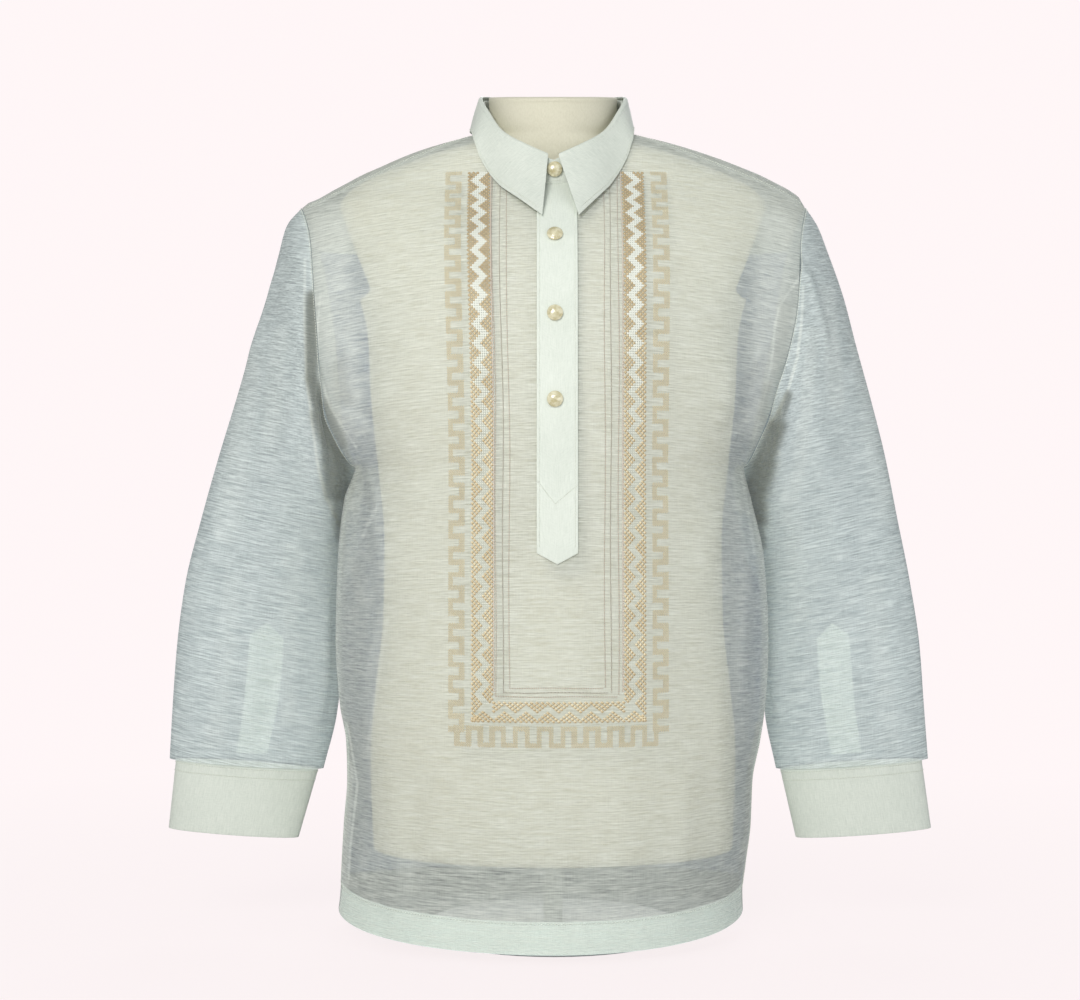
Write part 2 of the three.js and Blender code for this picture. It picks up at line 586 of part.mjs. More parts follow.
function finish(color, roughness, more = {}) {
  return new THREE.MeshStandardMaterial({ color, roughness, metalness: 0, ...more });
}
const sheer = finish(0xd3dbd4, 0.75, { transparent: true, opacity: 0.7 });
const doubled = finish(0xe6efe5, 0.7);
const pearl = finish(0xead9a8, 0.25);
const linen = finish(0xe0dac2, 0.85);
const paintedSteel = finish(0xb4bfc1, 0.45, { metalness: 0.3 });

const barong = new THREE.Group();
function add(name, geometry, material) {
  const mesh = new THREE.Mesh(geometry, material);
  mesh.name = name;
  barong.add(mesh);
  return mesh;
}

// The body's panels share their rows: the hem, the vent and the armpit each fall on one.
const EDGE_COLUMNS = [-1, -0.985, -0.925];
const HEM_TOP = HEM_Z + HEM_HIGH;
const BODY_ROWS = [HEM_Z, HEM_TOP, ...spread(70, VENT_TOP, 3), ...spread(230, 400, 4), 423, ARMPIT_Z];
function mirrored(edges, strips) {
  const inner = edges[edges.length - 1];
  const outer = edges.slice(0, -1);
  return [...outer, ...spread(inner, -inner, strips), ...outer.map((t) => -t).reverse()];
}
function rowsUpTo(top, more) {
  return [...BODY_ROWS, ...more, top].map((z) => (z - HEM_Z) / (top - HEM_Z));
}
function flatSides(normal, t, v, top) {
  return Math.abs(t) === 1 && mix(HEM_Z, top, v) <= ARMPIT_Z + 1 ? normal.setY(0).normalize() : normal;
}

function makeBody() {
  const tipZ = frontTop(1).z;
  const backZ = YOKE_SEAM_Z - SEAM;
  const columns = mirrored(EDGE_COLUMNS, 22);
  const heights = (turns) => turns.map((turn) => armhole(RIGHT, turn).z);
  const frontRows = rowsUpTo(tipZ, heights(FRONT_TURNS));
  const backRows = rowsUpTo(backZ, heights(BACK_TURNS));
  const panels = [
    { name: "front", at: frontPanel, us: columns, vs: frontRows, top: tipZ },
    { name: "back", at: backPanel, us: columns.slice().reverse(), vs: backRows, top: backZ },
  ];
  for (const { name, at, us, vs, top } of panels) {
    const turnNormal = (normal, t, v) => flatSides(normal, t, v, top);
    const sheet = sample(at, us, vs, { turnNormal });
    const last = us.length - 1;
    const inner = [WALL + SEAM, 2 * WALL + SEAM];
    add(name, layer(sheet, 0, WALL), sheer);
    add(`${name}_hem`, layer(sheet, ...inner, { columns: [1, last - 1], rows: [0, 1] }), sheer);
    const facings = name === "front" ? ["right", "left"] : ["left", "right"];
    const spans = [[1, 2], [last - 2, last - 1]];
    facings.forEach((side, i) => {
      const sheetAbove = sample(at, us, [vs[1] + 0.0012, ...vs.slice(2, 6)], { turnNormal });
      add(`${name}_vent_facing_${side}`, layer(sheetAbove, ...inner, { columns: spans[i] }), sheer);
    });
  }
  const yokeSheet = sample(yoke, columns.slice().reverse(), spread(0, 1, YOKE_TURNS.length - 1));
  add("yoke", layer(yokeSheet, 0, WALL), sheer);
}

function makeSleeves() {
  const turns = [...YOKE_TURNS, ...FRONT_TURNS.slice().reverse(), 180, ...BACK_TURNS];
  for (const { side, name } of SIDES) {
    const round = side === RIGHT ? turns.slice().reverse() : turns;
    const shares = [0, 0.04, ...spread(0.09, 0.93, 14), 0.965, 1];
    const tube = sample(sleeve(side), round, shares, { closed: true, turnNormal: squareToArmhole(side) });
    add(`sleeve_${name}`, layer(tube, 0, WALL), sheer);
    const strip = sample(sleevePlacket(side), [-1, 0, 1], spread(0, 1, 4));
    add(`sleeve_placket_${name}`, layer(strip, -LAID_ON - STIFF_WALL, -LAID_ON), doubled);
    const band = sample(cuff(side), spread(0, 1, 26), [0, 0.5, 1]);
    add(`cuff_${name}`, layer(band, 0, STIFF_WALL), doubled);
    const lap = (360 + CUFF_LAP) / (360 + 2 * CUFF_LAP);
    const out = limbOut(side, CUFF, 0.5, 270);
    addButton(`cuff_button_${name}`, CUFF_BUTTON_R, cuff(side)(lap, 0.5), out);
  }
}

// A domed button that lies a little above a surface, facing out of it.
function addButton(name, radius, place, out) {
  const high = (BUTTON_THICK * radius) / BUTTON_R;
  const points = BUTTON_PROFILE.map(([r, h]) => new THREE.Vector2(r * radius, h * high));
  const mesh = add(name, new THREE.LatheGeometry(points, 18), pearl);
  mesh.quaternion.setFromUnitVectors(new THREE.Vector3(0, 1, 0), out);
  mesh.position.copy(place).addScaledVector(out, LAID_ON);
}
function makeCollarAndPlacket() {
  add("collar_stand", layer(sample(stand, spread(0, 1, 44), [0, 0.5, 1]), 0, STIFF_WALL), doubled);
  const turns = [0, 0.03, 0.07, ...spread(0.12, 0.88, 28), 0.93, 0.97, 1];
  add("collar_leaf", layer(sample(leaf, turns, [0, 0.05, ROLL, 0.4, 0.7, 1]), 0, STIFF_WALL), doubled);
  const strip = sample(placket, [-1, -0.5, 0, 0.5, 1], spread(0, 1, 20));
  add("placket", layer(strip, -LAID_ON - STIFF_WALL, -LAID_ON), doubled);
  const standFront = neckPlan(180, LAP_LIFT).setX(BUTTON_X).setZ(COLLAR_BUTTON_Z);
  addButton("button_1", BUTTON_R, standFront, new THREE.Vector3(0, -1, 0));
  PLACKET_BUTTON_Z.forEach((z, i) => {
    const place = new THREE.Vector3(BUTTON_X, bodyDepth(FRONT, BUTTON_X, z), z);
    const step = 8;
    const slope = bodyDepth(FRONT, BUTTON_X, z + step) - bodyDepth(FRONT, BUTTON_X, z - step);
    const out = new THREE.Vector3(0, -2 * step, slope).normalize();
    addButton(`button_${i + 2}`, BUTTON_R, place.addScaledVector(out, LAID_ON + STIFF_WALL), out);
  });
}

// The dress form, cut flat at the hips, the neck and the two arms.
function makeForm() {
  const top = FORM[FORM.length - 1].z;
  const rings = FORM.map((row) =>
    ring(32).map((turn) => {
      const a = radians(turn);
      const plate = ARM_PLATE.x + Math.max(0, row.z - ARM_PLATE.z) * ARM_PLATE.slope;
      const limit = row.z < ARM_PLATE.z ? row.half : plate;
      const x = clamp(row.half * Math.sin(a), -limit, limit);
      const reach = Math.cos(a) < 0 ? row.front : row.back;
      const y = Math.sign(Math.cos(a)) * Math.abs(Math.cos(a)) ** row.pinch * reach;
      return new THREE.Vector3(x, y, row.z === top ? row.z + NECK_TILT * y : row.z);
    }).reverse(),
  );
  add("form_torso", solidThrough(rings), linen);
}
function makeStand() {
  const high = FORM_BOTTOM_Z - BASE_THICK - 2 * SEAM; // with a gap above and below
  const post = add("stand_post", new THREE.CylinderGeometry(POST_R, POST_R, high, 24), paintedSteel);
  post.rotation.x = Math.PI / 2;
  post.position.z = BASE_THICK + SEAM + high / 2;
  const [foot, bevel] = [1, 2];
  const lower = [[0, 0], [BASE_R - foot, 0], [BASE_R, foot]];
  const upper = [[BASE_R, BASE_THICK - bevel], [BASE_R - bevel, BASE_THICK], [0, BASE_THICK]];
  const profile = [...lower, ...upper].map(([r, z]) => new THREE.Vector2(r, z));
  const base = new THREE.LatheGeometry(profile, 48);
  add("stand_base", base, paintedSteel).rotation.x = Math.PI / 2;
}

makeBody();
makeSleeves();
makeCollarAndPlacket();
makeForm();
makeStand();

export default barong;
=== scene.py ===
# %% [markdown]
# # A barong tagalog on a dress form
# A barong tagalog is a formal shirt of sheer cloth, woven with uneven threads that show as fine level
# streaks. Here it hangs on a limbless dress form, and its collar, placket and cuffs are doubled, so they
# look solid beside the body. The lesson starts by loading the measured frame.

# %% Load the frame
import math

import bpy
import numpy as np
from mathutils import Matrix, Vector


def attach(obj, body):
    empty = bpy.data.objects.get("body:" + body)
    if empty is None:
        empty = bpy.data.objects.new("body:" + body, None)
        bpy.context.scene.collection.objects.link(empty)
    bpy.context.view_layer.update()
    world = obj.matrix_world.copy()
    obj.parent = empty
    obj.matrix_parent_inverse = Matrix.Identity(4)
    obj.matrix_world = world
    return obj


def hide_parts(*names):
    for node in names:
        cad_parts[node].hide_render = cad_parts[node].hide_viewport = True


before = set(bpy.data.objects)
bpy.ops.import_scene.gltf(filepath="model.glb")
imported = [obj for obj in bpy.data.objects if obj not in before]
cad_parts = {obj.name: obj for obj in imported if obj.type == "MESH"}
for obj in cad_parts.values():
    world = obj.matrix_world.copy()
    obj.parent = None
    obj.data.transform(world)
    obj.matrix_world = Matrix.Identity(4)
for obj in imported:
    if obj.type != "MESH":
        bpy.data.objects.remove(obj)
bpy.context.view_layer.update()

# %% [markdown]
# ## Sizes
# All sizes are in millimetres, with the floor at z = 0 and the shirt's front facing -Y. The tables are a
# tailor's measures: how wide and how deep the shirt is at each height. A smooth curve runs through each
# column, and it never overshoots between rows, so that no bulge appears that nobody asked for.

# %% Named sizes
RIGHT, LEFT = -1, 1
FRONT, BACK = -1, 1
SIDES = ((RIGHT, "right"), (LEFT, "left"))
SEAM = 0.3
OFF_BODY = SEAM * 0.6  # where a sheet lies beside the body's own surface
HEM_Z, HEM_RISE, HEM_HIGH = 8.0, 17.0, 29.0
VENT_TOP, VENT_HALF, VENT_FADE = 190.0, 4.0, 60.0
ARMPIT_Z, SHOULDER_Z, SHOULDER_SEAM_DIP = 440.0, 685.0, 7.0
COLLAR_WIDE, COLLAR_DEEP, COLLAR_FORWARD = 66.0, 67.0, 5.0
FOLD_R = 2.8
PLACKET_X, PLACKET_WIDE, PLACKET_TIP_Z, PLACKET_POINT = 3.0, 36.5, 351.0, 10.0
BUTTON_X, BUTTON_R, CUFF_BUTTON_R = 1.0, 7.2, 5.5
STIFF_WALL, LAP_LIFT = 1.4, 2.2  # a doubled piece's wall, and how far its lap rises over the end below
print("hem to shoulder:", SHOULDER_Z - HEM_Z, "mm")

# %% Tables of the body, the armhole and the form
# z, half width on the wearer's right and left, reach forward and back
BODY = np.array([
    (8, 205, 180, 150, 142), (40, 201, 179, 150, 142), (66, 200, 182, 150, 141), (104, 198, 187, 149, 141),
    (145, 195, 189, 148, 140), (180, 196, 196, 147, 139), (215, 202, 201, 146, 139), (275, 206, 204, 144, 137),
    (351, 204, 200, 142, 135), (408, 198, 188, 141, 133), (440, 188, 181, 140, 132), (500, 210, 200, 138, 131),
    (560, 218, 214, 135, 130), (600, 222, 222, 130, 127), (640, 230, 230, 116, 119), (670, 236, 237, 95, 108),
    (685, 238, 239, 82, 100), (693, 223, 235, 75, 95), (701, 209, 225, 69, 91), (708, 196, 212, 65, 87),
    (716, 181, 196, 61, 82), (723, 165, 179, 58, 78), (731, 147, 158, 56, 73), (739, 126, 134, 53, 69),
    (746, 102, 109, 51, 65), (753, 72, 75, 49, 62), (760, 40, 40, 47, 58),
], float)
# half width on the right and left, y and z, at every 45 degrees from the shoulder, forwards
ARMHOLE = np.array([
    (238, 239, 0, 685), (225, 229, -50, 650), (217, 221, -74, 572), (210, 199, -54, 486),
    (189, 182, 0, 440), (206, 198, 56, 486), (215, 217, 78, 572), (227, 229, 54, 650),
], float)
# z, half width, reach forward and back, pinch towards the ends
FORM = np.array([
    (78, 170, 116, 114, 1), (120, 172, 119, 119, 1), (170, 173, 120, 120, 1), (230, 168, 117, 115, 1),
    (300, 161, 114, 107, 1), (370, 160, 117, 107, 1), (440, 166, 123, 112, 1), (510, 173, 126, 118, 1),
    (560, 175, 124, 120, 1), (600, 184, 117, 117, 1), (635, 200, 104, 110, 1), (662, 209, 88, 99, 1),
    (680, 207, 76, 91, 1), (694, 199, 66, 84, 1.1), (704, 189, 60, 79, 1.2), (712, 175, 58, 75, 1.25),
    (719, 160, 58, 71, 1.3), (727, 140, 58, 66, 1.45), (735, 119, 58, 61, 1.6), (742, 95, 58, 56, 1.7),
    (748, 66, 58, 53, 1.5), (757, 61, 58.5, 52, 1.1), (772, 60.5, 59, 52, 1), (790, 61, 60, 52, 1),
], float)


def mix(a, b, share):
    return a + (b - a) * share


def ramp(low, high, x):
    t = np.clip((np.asarray(x, float) - low) / (high - low), 0, 1)
    return t * t * (3 - 2 * t)


def hump(off, wide):
    return np.exp(-((off / wide) ** 2))


def as_pair(a, b):
    return np.broadcast_arrays(np.asarray(a, float), np.asarray(b, float))


def unit(v):
    return v / np.maximum(np.linalg.norm(v, axis=-1, keepdims=True), 1e-9)


def beside(x, z, line):
    """How far along a line each point lies, as a share of it, and how far off the line."""
    from_x, from_z, to_x, to_z = line
    run_x, run_z = to_x - from_x, to_z - from_z
    share = np.clip(((x - from_x) * run_x + (z - from_z) * run_z) / (run_x**2 + run_z**2), 0, 1)
    return share, np.hypot(x - from_x - run_x * share, z - from_z - run_z * share)


def along(rows, column, at):
    """A column of a table on a smooth curve that doesn't overshoot between the rows."""
    keys, values = rows[:, 0], rows[:, column]
    rise = np.diff(values) / np.diff(keys)
    before, after = rise[:-1], rise[1:]
    same = before * after > 0
    total = np.where(same, before + after, 1)
    slopes = np.concatenate(([rise[0]], np.where(same, 2 * before * after / total, 0), [rise[-1]]))
    goal = np.clip(at, keys[0], keys[-1])
    i = np.clip(np.searchsorted(keys, goal, side="right") - 1, 0, len(keys) - 2)
    wide = keys[i + 1] - keys[i]
    t = (goal - keys[i]) / wide
    bend = slopes[i] * (1 - t) ** 2 * t - slopes[i + 1] * (1 - t) * t * t
    return mix(values[i], values[i + 1], t * t * (3 - 2 * t)) + bend * wide


print("half width at the waist:", float(along(BODY, 1, 351.0)))

# %% [markdown]
# ## Folds
# Sheer cloth is light and a little stiff, so it makes long soft folds and few sharp ones. Each fold is a
# ridge or trough along a given line, with its own length, width and height. The front's folds start at the
# armpits, where the sleeve pulls, and at the form's side, where the cloth leaves it.

# %% Folds of the body
# on, from x and z, to x and z, width, height
BODY_FOLDS = [
    (FRONT, -186, 462, -112, 552, 17, 5), (FRONT, -184, 430, -122, 300, 22, 5),
    (FRONT, 178, 452, 140, 560, 18, 5), (FRONT, 176, 430, 124, 310, 22, 5),
    (BACK, -176, 440, -96, 330, 24, 6), (BACK, 170, 440, 96, 330, 24, 6),
    (BACK, -150, 600, -120, 200, 26, 4), (BACK, 150, 600, 120, 200, 26, 4),
]
CREASES = [
    (FRONT, -180, 446, -158, 398, 6, 5.1), (FRONT, -166, 408, -155, 318, 7, 4.2),
    (FRONT, -152, 330, -178, 232, 6, 4.2), (FRONT, -172, 250, -182, 120, 9, 3.8),
    (FRONT, -196, 500, -150, 470, 7, -3.5), (FRONT, -205, 560, -165, 520, 8, 2.9),
    (FRONT, -150, 180, -140, 20, 12, 3.5), (FRONT, -122, 150, -128, 14, 9, -2.9),
    (FRONT, -40, 140, -52, 12, 20, 2.6), (FRONT, 60, 150, 66, 12, 18, 2.9),
    (FRONT, 120, 170, 112, 14, 12, 3.2), (FRONT, 150, 240, 158, 30, 10, 3.8),
    (FRONT, 170, 428, 184, 330, 7, 4.5), (FRONT, 182, 345, 172, 214, 8, 3.8),
    (FRONT, 190, 500, 146, 462, 8, -3.2), (FRONT, 204, 556, 160, 508, 8, 3.2),
    (FRONT, 150, 636, 178, 560, 12, 2.6), (FRONT, -150, 640, -186, 572, 12, 2.4),
    (FRONT, 166, 560, 150, 460, 10, 2.9), (FRONT, -140, 470, -118, 380, 12, 2.2),
    (BACK, -186, 456, -150, 402, 8, 4.8), (BACK, 180, 456, 146, 396, 8, 4.8),
    (BACK, -60, 640, -74, 420, 22, 3.5), (BACK, 66, 640, 58, 440, 20, 3.8),
    (BACK, -20, 380, -34, 60, 24, 4.2), (BACK, 40, 330, 46, 14, 20, 3.8),
    (BACK, -110, 260, -122, 14, 16, 4.5), (BACK, 118, 300, 126, 14, 15, 4.2),
    (BACK, -165, 330, -172, 60, 10, 3.5), (BACK, 164, 320, 160, 60, 11, 3.5),
    (BACK, 6, 250, 4, 10, 14, -2.6), (BACK, -88, 210, -82, 12, 10, -2.6),
]


FOLD_START = 0.12  # a fold begins with some of its height


def fold_lift(face, x, z):
    lift = np.zeros(np.broadcast(x, z).shape)
    for on, *line, wide, out in BODY_FOLDS + CREASES:
        share, off = beside(x, z, line)
        ridge = out * np.sin(math.pi * mix(FOLD_START, 1, share)) * hump(off, wide)
        lift = lift + np.where(np.asarray(face) == on, ridge, 0)
    return lift


print("body folds:", len(BODY_FOLDS) + len(CREASES))

# %% [markdown]
# ## The body as a surface
# Seen from the front, every point of the shirt has a place x, z and a depth. Each level section is half
# an oval. Between the armpit and the shoulder it is a wider oval, cut short where it meets the armhole.
# With the depth known, the panels, the placket, the embroidery and the stitches all share one surface.


# %% The armhole and the body's depth
def armhole(side, turn):
    side, turn = as_pair(side, turn)
    place = np.mod(turn, 360) / 45
    start = np.floor(place).astype(int)
    t = place - start

    def value(column):
        a, b, c, d = (np.take(ARMHOLE[:, column], start + j, mode="wrap") for j in (-1, 0, 1, 2))
        return b + 0.5 * t * (c - a + t * (2 * a - 5 * b + 4 * c - d + t * (3 * (b - c) + d - a)))

    return np.stack([np.where(side < 0, -value(0), value(1)), value(2), value(3)], -1)


HALF_TURNS = np.linspace(0, 180, 361)
DOWN_FRONT = armhole(RIGHT, HALF_TURNS)[:, 2]
DOWN_BACK = armhole(RIGHT, 360 - HALF_TURNS)[:, 2]


def half_width(side, z):
    return np.where(np.asarray(side) < 0, along(BODY, 1, z), along(BODY, 2, z))


def section_end(side, face, z):
    forward = np.interp(-z, -DOWN_FRONT, HALF_TURNS)
    backward = 360 - np.interp(-z, -DOWN_BACK, HALF_TURNS)
    p = armhole(side, np.where(np.asarray(face) < 0, forward, backward))
    plain = (z <= ARMPIT_Z) | (z >= SHOULDER_Z)
    return np.where(plain, half_width(side, z), np.abs(p[..., 0])), np.where(plain, 0.0, p[..., 1])


EDGE_CALM = 0.3  # folds fade out over this part of the panel beside its seams


def body_depth(face, x, z):
    x, z = np.asarray(x, float), np.asarray(z, float)
    end_x, end_y = section_end(np.where(x < 0, RIGHT, LEFT), face, z)
    reach = np.where(np.asarray(face) < 0, along(BODY, 3, z), along(BODY, 4, z))
    half = end_x / np.sqrt(1 - (end_y / reach) ** 2)
    crown = np.sqrt(np.maximum(0, 1 - (x / half) ** 2))
    return face * (reach * crown + fold_lift(face, x, z) * ramp(0, EDGE_CALM, 1 - (x / end_x) ** 2))


RIDGE_Z = np.linspace(SHOULDER_Z, BODY[-1, 0], 301)


def ridge_height(x):
    right = np.interp(-np.abs(x), -half_width(RIGHT, RIDGE_Z), RIDGE_Z)
    left = np.interp(-np.abs(x), -half_width(LEFT, RIDGE_Z), RIDGE_Z)
    return np.where(np.asarray(x) < 0, right, left)


def height_at(x, y):
    """The height of the shoulders at x, y, found by halving the span that it lies in."""
    x, y = as_pair(x, y)
    face = np.where(y < 0, FRONT, BACK)
    low, high = np.full(x.shape, 600.0), ridge_height(x)
    for _ in range(28):
        middle = (low + high) / 2
        above = face * body_depth(face, x, middle) > face * y
        low, high = np.where(above, middle, low), np.where(above, high, middle)
    return (low + high) / 2


print("chest depth:", float(body_depth(BACK, 0, 500) - body_depth(FRONT, 0, 500)))

# %% [markdown]
# ## The neckline and the shoulder seams
# The front reaches up to a shoulder seam that lies a little forward of the shoulder's ridge, and the yoke
# covers the ridge itself. Both seams are named curves here, so the two pieces can't drift apart.

# %% Seam lines
NECK_SIDE_TURN, NECK_SHARE = 102, 0.36
TIP_TURN, YOKE_TURN, YOKE_SPREAD = 15, 315, 1.1


def neck_plan(turn, more=0):
    a = np.radians(turn)
    return (COLLAR_WIDE + more) * np.sin(a), (COLLAR_DEEP + more) * np.cos(a) - COLLAR_FORWARD


def neck_seam(turn):
    x, y = neck_plan(turn)
    return x, y, height_at(x, y)


def shoulder_seam(side, share):
    tip = armhole(side, TIP_TURN)
    neck_x, _, neck_z = neck_seam(side * NECK_SIDE_TURN)
    x = mix(neck_x, tip[..., 0], share)
    drop = mix(ridge_height(neck_x) - neck_z, ridge_height(tip[..., 0]) - tip[..., 2], share)
    return x, ridge_height(x) - drop - np.sin(math.pi * share) * SHOULDER_SEAM_DIP


def round_neck(side, share, from_turn):
    """From the middle round the neck and on along the shoulder seam: x, z, and the side of the ridge."""
    turn = side * mix(from_turn, NECK_SIDE_TURN, np.minimum(share / NECK_SHARE, 1))
    neck_x, neck_y, neck_z = neck_seam(turn)
    seam_x, seam_z = shoulder_seam(side, np.clip((share - NECK_SHARE) / (1 - NECK_SHARE), 0, 1))
    on = share >= NECK_SHARE
    face = np.where(on | (neck_y < 0), FRONT, BACK)
    return np.where(on, seam_x, neck_x), np.where(on, seam_z, neck_z), face


def front_top(t):
    return round_neck(np.where(t < 0, RIGHT, LEFT), np.abs(t), 180)[:2]


YOKE_SEAM_Z = float(armhole(RIGHT, YOKE_TURN)[2])


def yoke_seam(t):
    edge = np.abs(armhole(np.where(t < 0, RIGHT, LEFT), YOKE_TURN)[..., 0])
    return edge * np.sin(t * YOKE_SPREAD) / math.sin(YOKE_SPREAD), np.full(np.shape(t), YOKE_SEAM_Z)


print("yoke seam at z =", round(YOKE_SEAM_Z, 1))


# %% Panels
SPREAD_BEND, TOP_BEND = 1.35, 2.4  # how late, going up, a panel takes on the shape of its top edge


def body_panel(face, top):
    """t runs across the panel from -1 to 1, and v up it from the hem."""

    def panel(t, v):
        t, v = np.asarray(t, float), np.asarray(v, float)
        side = np.where(t < 0, RIGHT, LEFT)
        (right_x, edge_z), (left_x, _) = top(np.array(-1.0)), top(np.array(1.0))
        edge_x = np.where(t < 0, right_x, left_x)
        upper_x, upper_z = top(t)
        rise = HEM_RISE * t**2 * (1 - v) ** 3
        level = mix(HEM_Z, edge_z, v)
        end_x, end_y = section_end(side, face, level + rise)
        top_spread = np.abs(upper_x / edge_x) * end_x
        spread = mix(end_x * np.sin(math.pi / 2 * np.abs(t)), top_spread, v**SPREAD_BEND)
        at_end = np.abs(t) == 1
        x = side * np.where(at_end, end_x, spread)
        z = level + rise + np.where(at_end, 0, (upper_z - edge_z) * v**TOP_BEND)
        y = np.where(at_end, end_y, body_depth(face, x, z))
        near_side = 1 - np.clip(np.abs(y) / VENT_FADE, 0, 1)
        open_by = VENT_HALF * (1 - ramp(HEM_Z, VENT_TOP, z)) * near_side
        return np.stack([x, y + face * (OFF_BODY + open_by), z], -1)

    return panel


front_panel = body_panel(FRONT, front_top)
back_flat = body_panel(BACK, yoke_seam)


def back_panel(t, v):
    return back_flat(-t, v)


def yoke(t, v):
    """v runs from the seam with the back, over the shoulder, to the front shoulder seam."""
    t, v = as_pair(-np.asarray(t, float), v)
    side, share = np.where(t < 0, RIGHT, LEFT), np.abs(t)

    def away(x, z, face):
        return face * np.sqrt(np.maximum(0, ridge_height(x) - z))

    start_x, start_z = yoke_seam(t)
    end_x, end_z, end_face = round_neck(side, share, 0)
    x = mix(start_x, end_x, v)
    reach = mix(away(start_x, start_z, BACK), away(end_x, end_z, end_face), v)
    z = ridge_height(x) - reach**2
    y = body_depth(np.where(reach < 0, FRONT, BACK), x, z)
    tip = armhole(side, mix(YOKE_TURN - 360, TIP_TURN, v))
    return np.where((share == 1)[..., None], tip, np.stack([x, y, z], -1))


print("front hem's middle:", front_panel(0.0, 0.0).round(1))

# %% [markdown]
# ## Sleeves and cuffs
# A sleeve is a tube that starts as the armhole seam and ends as a smaller level ring at the cuff. Its
# table gives the outer and the inner edge at twelve places. The ridge beside the armhole's front and the
# trough next to it come from the spare width that a set-in sleeve has when the arm is down.

# %% The sleeve's tables
# outer z, outer x on the right and left, inner z, inner x on the right and left, thickness, turn, behind
SLEEVE = np.array([
    (685, 238, 239, 440, 189, 182, 76, 0, 0), (668, 252, 250, 436, 190.6, 183.6, 77, 0, 3),
    (640, 260, 261, 431, 192.3, 184.8, 77, 0, 6), (600, 270, 275, 425, 194, 186, 75, 2, 11),
    (555, 285, 287, 416, 196.4, 187.8, 71, 4, 18), (505, 300, 301, 402, 198.8, 189.8, 65, 7, 25),
    (450, 317, 315, 380, 200.8, 194.4, 57, 9, 31), (390, 334, 327, 345, 202.6, 199.4, 49, 9, 36),
    (330, 349, 339, 300, 203.6, 202, 42, 8, 38), (270, 357, 348, 250, 203.8, 202.2, 37, 6, 36),
    (215, 361, 352, 203, 208, 204.5, 33, 3, 30), (163, 364, 356, 151, 220, 214, 26, 0, 20),
], float)
CUFF = np.array([(162, 358, 350, 150, 225, 218, 22, 0, 19), (97, 365, 359, 86, 243, 232, 19, 0, 12)], float)
CUFF_LAP = 9
# turn, from z, to z, width in degrees, height
SLEEVE_FOLDS = [
    (128, 640, 330, 20, 4), (52, 600, 200, 24, -4), (315, 600, 260, 26, -4), (325, 215, 120, 12, 3),
    (298, 215, 120, 10, 3),
]
SLEEVE_CREASES = {
    RIGHT: [
        (116, 640, 400, 7, 5.8), (134, 610, 380, 8, -5.4), (88, 560, 330, 11, 3.1), (40, 420, 200, 10, 2.7),
        (66, 300, 165, 9, 3.4), (100, 260, 160, 8, -2.7), (140, 330, 170, 10, 3.4), (20, 640, 520, 9, 2.7),
        (240, 560, 300, 12, 4.1), (285, 600, 420, 12, 3.4), (200, 475, 315, 16, 18), (262, 330, 180, 12, 3.1),
    ],
    LEFT: [
        (118, 630, 420, 7, 5.4), (136, 600, 390, 8, -5.1), (62, 668, 520, 6, 3.7), (80, 520, 300, 12, 3.1),
        (44, 380, 180, 11, 2.7), (72, 270, 165, 8, 3.4), (108, 250, 160, 9, -2.7), (146, 320, 180, 9, 3.4),
        (236, 540, 310, 12, 3.7), (290, 590, 400, 13, 3.7), (200, 475, 315, 16, 18), (256, 320, 190, 12, 3.4),
    ],
}


print("creases on the sleeves:", sum(len(creases) for creases in SLEEVE_CREASES.values()))


# %% The sleeve, the cuff and the sleeve placket as surfaces
def limb(side, rows, share, turn):
    table = np.column_stack([np.linspace(0, 1, len(rows)), rows])
    a = np.radians(turn)
    across = (1 - np.cos(a)) / 2
    out_column, in_column = (2, 5) if side == RIGHT else (3, 6)
    x = side * mix(along(table, out_column, share), along(table, in_column, share), across)
    x = x - side * along(table, 8, share) * np.maximum(0, np.sin(a)) ** 2
    y = along(table, 9, share) * across - np.sin(a) * along(table, 7, share)
    return np.stack([x, y, mix(along(table, 1, share), along(table, 4, share), across)], -1)


def limb_out(side, rows, share, turn):
    middle = (limb(side, rows, share, 0 * turn) + limb(side, rows, share, 0 * turn + 180)) / 2
    out = limb(side, rows, share, turn) - middle
    out[..., 2] = 0
    return unit(out)


HEAD_EASE, FOLD_FADE = 0.42, 0.3  # parts of the sleeve, and of a fold's length, over which they settle


def sleeve(side, turn, share):
    turn, share = as_pair(turn, share)
    seam = armhole(side, turn)
    seam[..., 0] += side * SEAM * (2 + 3 * ramp(0, 1, -np.cos(np.radians(turn))))
    shift = (seam - limb(side, SLEEVE, 0 * share, turn)) * (1 - ramp(0, HEAD_EASE, share))[..., None]
    p = limb(side, SLEEVE, share, turn) + shift
    out = limb_out(side, SLEEVE, share, turn)
    for at, from_z, to_z, wide, high in SLEEVE_FOLDS + SLEEVE_CREASES[side]:
        off = np.mod(turn - at + 900, 360) - 180
        starts = ramp(from_z, mix(from_z, to_z, FOLD_FADE), p[..., 2])
        ends = ramp(to_z, mix(to_z, from_z, FOLD_FADE), p[..., 2])
        p = p + out * (high * starts * ends * hump(off, wide))[..., None]
    return p


def sleeve_round(side):
    """The sleeve as a sheet that starts and ends at the underarm seam."""
    return lambda u, v: sleeve(side, 180 + side * 360 * u, v)


def cuff(side):
    def band(u, v):
        turn = 270 + side * (-CUFF_LAP + (360 + 2 * CUFF_LAP) * u)
        lapped = (LAP_LIFT * ramp(0.88, 0.95, u))[..., None]
        return limb(side, CUFF, v, turn) + limb_out(side, CUFF, v, turn) * lapped

    return lambda u, v: band(*as_pair(u, v))


# turn of half its width, share of the sleeve where its point and its shoulders lie, and where it ends
GHOST_HALF, GHOST_TIP, GHOST_POINT, GHOST_END = 11.5, 0.772, 0.022, 0.99


